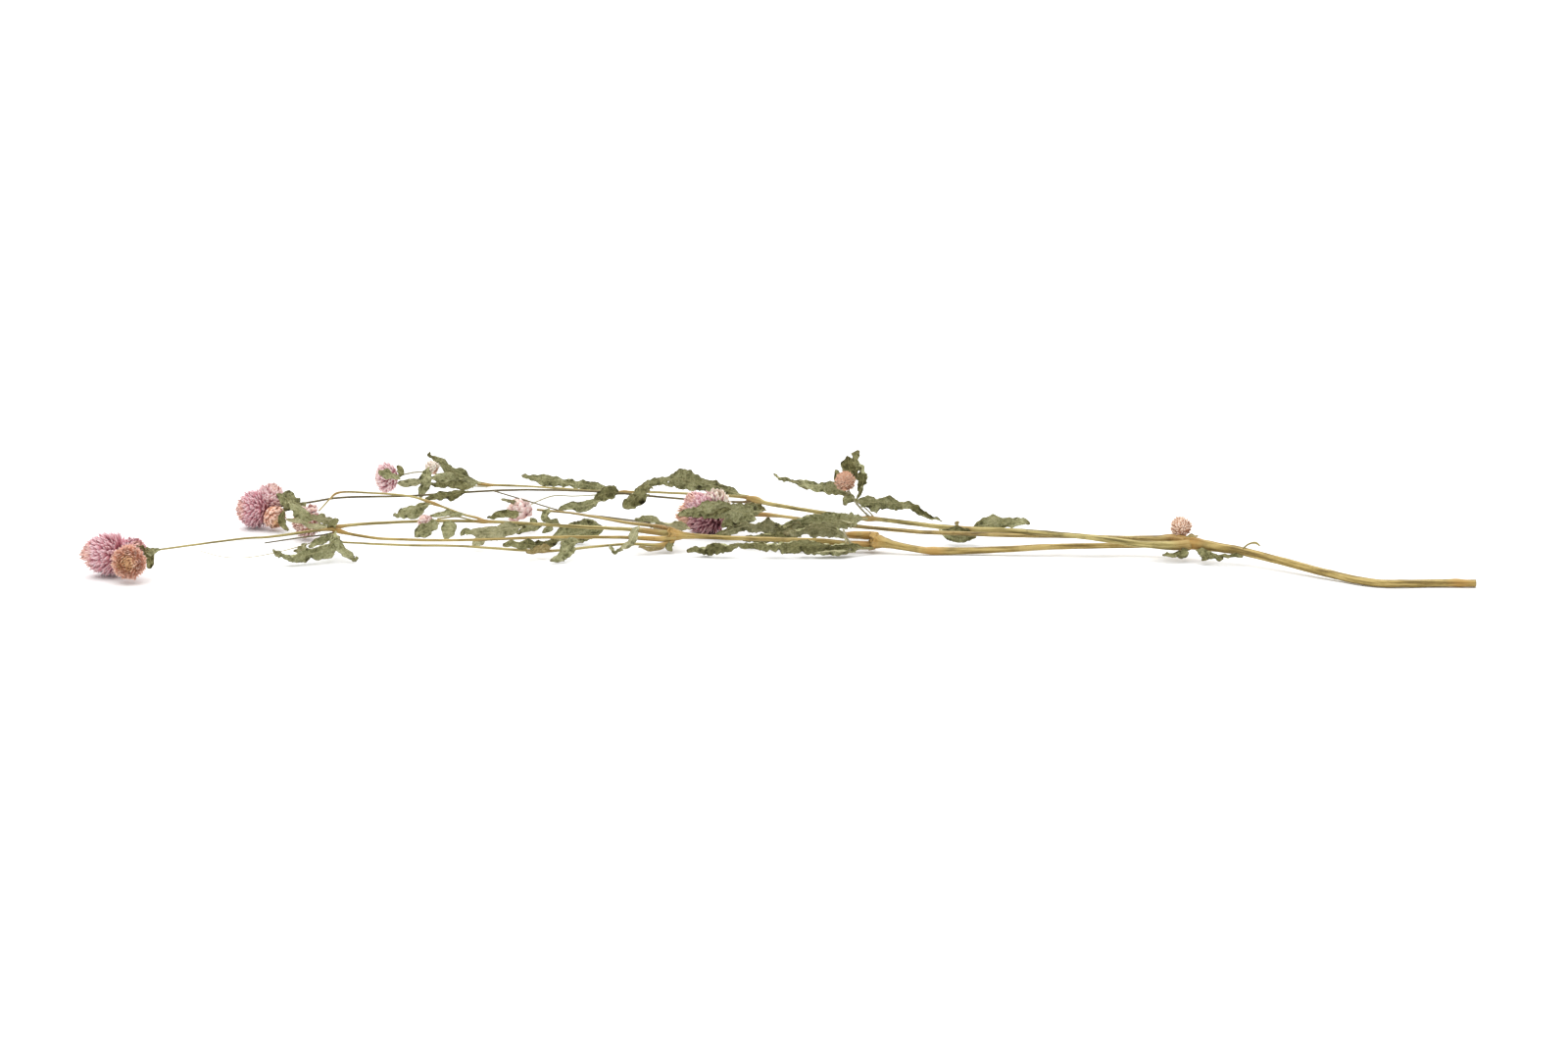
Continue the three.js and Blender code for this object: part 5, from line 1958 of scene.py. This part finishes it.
    @staticmethod
    def _stem() -> list[Leaf]:
        """Lists the leaves along the branches and under the top joint."""
        return [
            Leaf(
                "touching_leaf_blade", [(72, 20, 6.6), (77, 18, 5.0), (83, 18, 3.9), (89, 20, 3.4)], 3.5,
                SAGE_LEAF, DARK_LEAF, Slot.DARK_LEAF, turn=12, curl=(1.0, 1.3), crinkle=0.9,
                nodes=("touching_leaf",),
            ),
            Leaf(
                "branch_leaf_blade", [(86, 19, 7.6), (93, 19, 9.2), (103, 20, 10.4), (113, 20, 9.8)], 3.7,
                SAGE_LEAF, DARK_LEAF, turn=14, curl=(0.9, 0.9), crinkle=1.1, ragged=0.24,
                nodes=("branch_leaf",),
            ),
            Leaf(
                "petiole_stub", [(80.6, 18, 7.6), (79.8, 17.6, 9.6), (80.6, 17.4, 11.2)], 0.8, BEIGE_LEAF,
                curl=(1.6, 1.4)
            ),
            Leaf(
                "stub_wrap", [(76, 18, 7.4), (81, 17.4, 7.9), (86, 17, 6.4)], 1.4, DARK_LEAF, SAGE_LEAF,
                curl=(1.4, 1.2), ragged=0.3
            ),
            Leaf(
                "joint_scrap_left", [(181, -15, 5.2), (176, -19, 4.6), (169, -19, 3.6)], 1.2, DARK_LEAF,
                DARK_LEAF, crinkle=1.0, ragged=0.4
            ),
            Leaf(
                "joint_scrap_low", [(180, -16, 5.4), (178, -18, 3.8), (176, -18, 2.2)], 1.7, DARK_LEAF,
                SAGE_LEAF, ragged=0.4
            ),
            Leaf(
                "joint_scrap_right", [(184, -17, 5.4), (189, -22, 4.3), (195, -25, 3.2)], 2.2, DARK_LEAF,
                DARK_LEAF, crinkle=1.0, ragged=0.4
            ),
            Leaf(
                "joint_scrap_tail", [(192, -24, 4.4), (198, -24, 4.6), (204, -24, 4.2)], 0.8, DARK_LEAF,
                SAGE_LEAF, curl=(1.6, 1.2)
            ),
            Leaf(
                "joint_scrap_tip", [(186, -19, 5.4), (187.4, -22, 3.6), (186, -23, 2.0)], 1.6, DARK_LEAF,
                curl=(1.4, 1.2), ragged=0.4
            ),
            Leaf(
                "joint_scrap_top", [(179.6, -12.6, 10.2), (183, -13, 11.0), (185, -13.6, 10.6)], 0.5,
                BEIGE_LEAF, crinkle=0.3, ragged=0.4, ruffle=0.3
            ),
        ]


# --------------------------------------------------------------------------------------
# Surroundings
# --------------------------------------------------------------------------------------


@dataclass
class Studio:
    """The pale surface, the soft light and the camera."""

    aim_mm: Point = (2.2, 0.0, 15.2)
    distance: float = 1.744
    elevation: float = 12.0
    lens: float = 90.0
    floor_size: float = 14.0
    room: float = 1.0
    overhead: float = 3.0
    softness: float = 90.0  # degrees that the light spans
    from_side: Point = (-0.15, 0.35, 1.0)

    def build(self) -> None:
        """Builds the surroundings."""
        self._camera()
        self._floor()
        self._lights()
        scene = bpy.context.scene
        scene.view_settings.view_transform = "Standard"

    def _camera(self) -> None:
        """Places the camera in front of the plant, a little above it."""
        data = bpy.data.cameras.new("camera")
        data.lens = self.lens
        data.sensor_width = 36.0
        data.clip_end = 60.0
        camera = bpy.data.objects.new("camera", data)
        bpy.context.scene.collection.objects.link(camera)
        rise = math.radians(self.elevation)
        back = Vector((0.0, -math.cos(rise), math.sin(rise)))
        camera.location = mm(Vector(self.aim_mm)) + back * self.distance
        camera.rotation_mode = "QUATERNION"
        camera.rotation_quaternion = (-back).to_track_quat("-Z", "Y")
        bpy.context.scene.camera = camera

    def _floor(self) -> None:
        """Lays the pale surface at z = 0."""
        bm = bmesh.new()
        bmesh.ops.create_grid(bm, x_segments=1, y_segments=1, size=self.floor_size / 2)
        mesh = bpy.data.meshes.new("surface")
        bm.to_mesh(mesh)
        bm.free()
        sheet = Sheet("pale surface")
        sheet.surface(rgb(233, 233, 233), 0.7, 0.1)
        mesh.materials.append(sheet.material)
        floor = bpy.data.objects.new("surface", mesh)
        bpy.context.scene.collection.objects.link(floor)

    def _lights(self) -> None:
        """Hangs one wide soft light over the plant, a little behind it, in a bright even room."""
        world = bpy.data.worlds.new("room")
        bpy.context.scene.world = world
        world.use_nodes = True
        background = world.node_tree.nodes["Background"]
        background.inputs["Color"].default_value = (1.0, 1.0, 1.0, 1.0)
        background.inputs["Strength"].default_value = self.room
        data = bpy.data.lights.new("overhead", "SUN")
        data.energy = self.overhead
        data.angle = math.radians(self.softness)
        lamp = bpy.data.objects.new("overhead", data)
        lamp.rotation_mode = "QUATERNION"
        lamp.rotation_quaternion = Vector(self.from_side).normalized().to_track_quat("Z", "Y")
        bpy.context.scene.collection.objects.link(lamp)


def main() -> None:
    """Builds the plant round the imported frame."""
    logging.basicConfig(level=logging.INFO, format="%(name)s: %(message)s")
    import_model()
    Studio().build()
    finishes = Finishes()
    for part in (MainStem, FrontStem, BackStem, FlowerHeads, Foliage):
        pieces = part(finishes).build()
        for piece in pieces:
            LOG.info("%s: %s, %d faces", part.__name__, piece.name, len(piece.data.polygons))


if __name__ == "__main__":
    main()
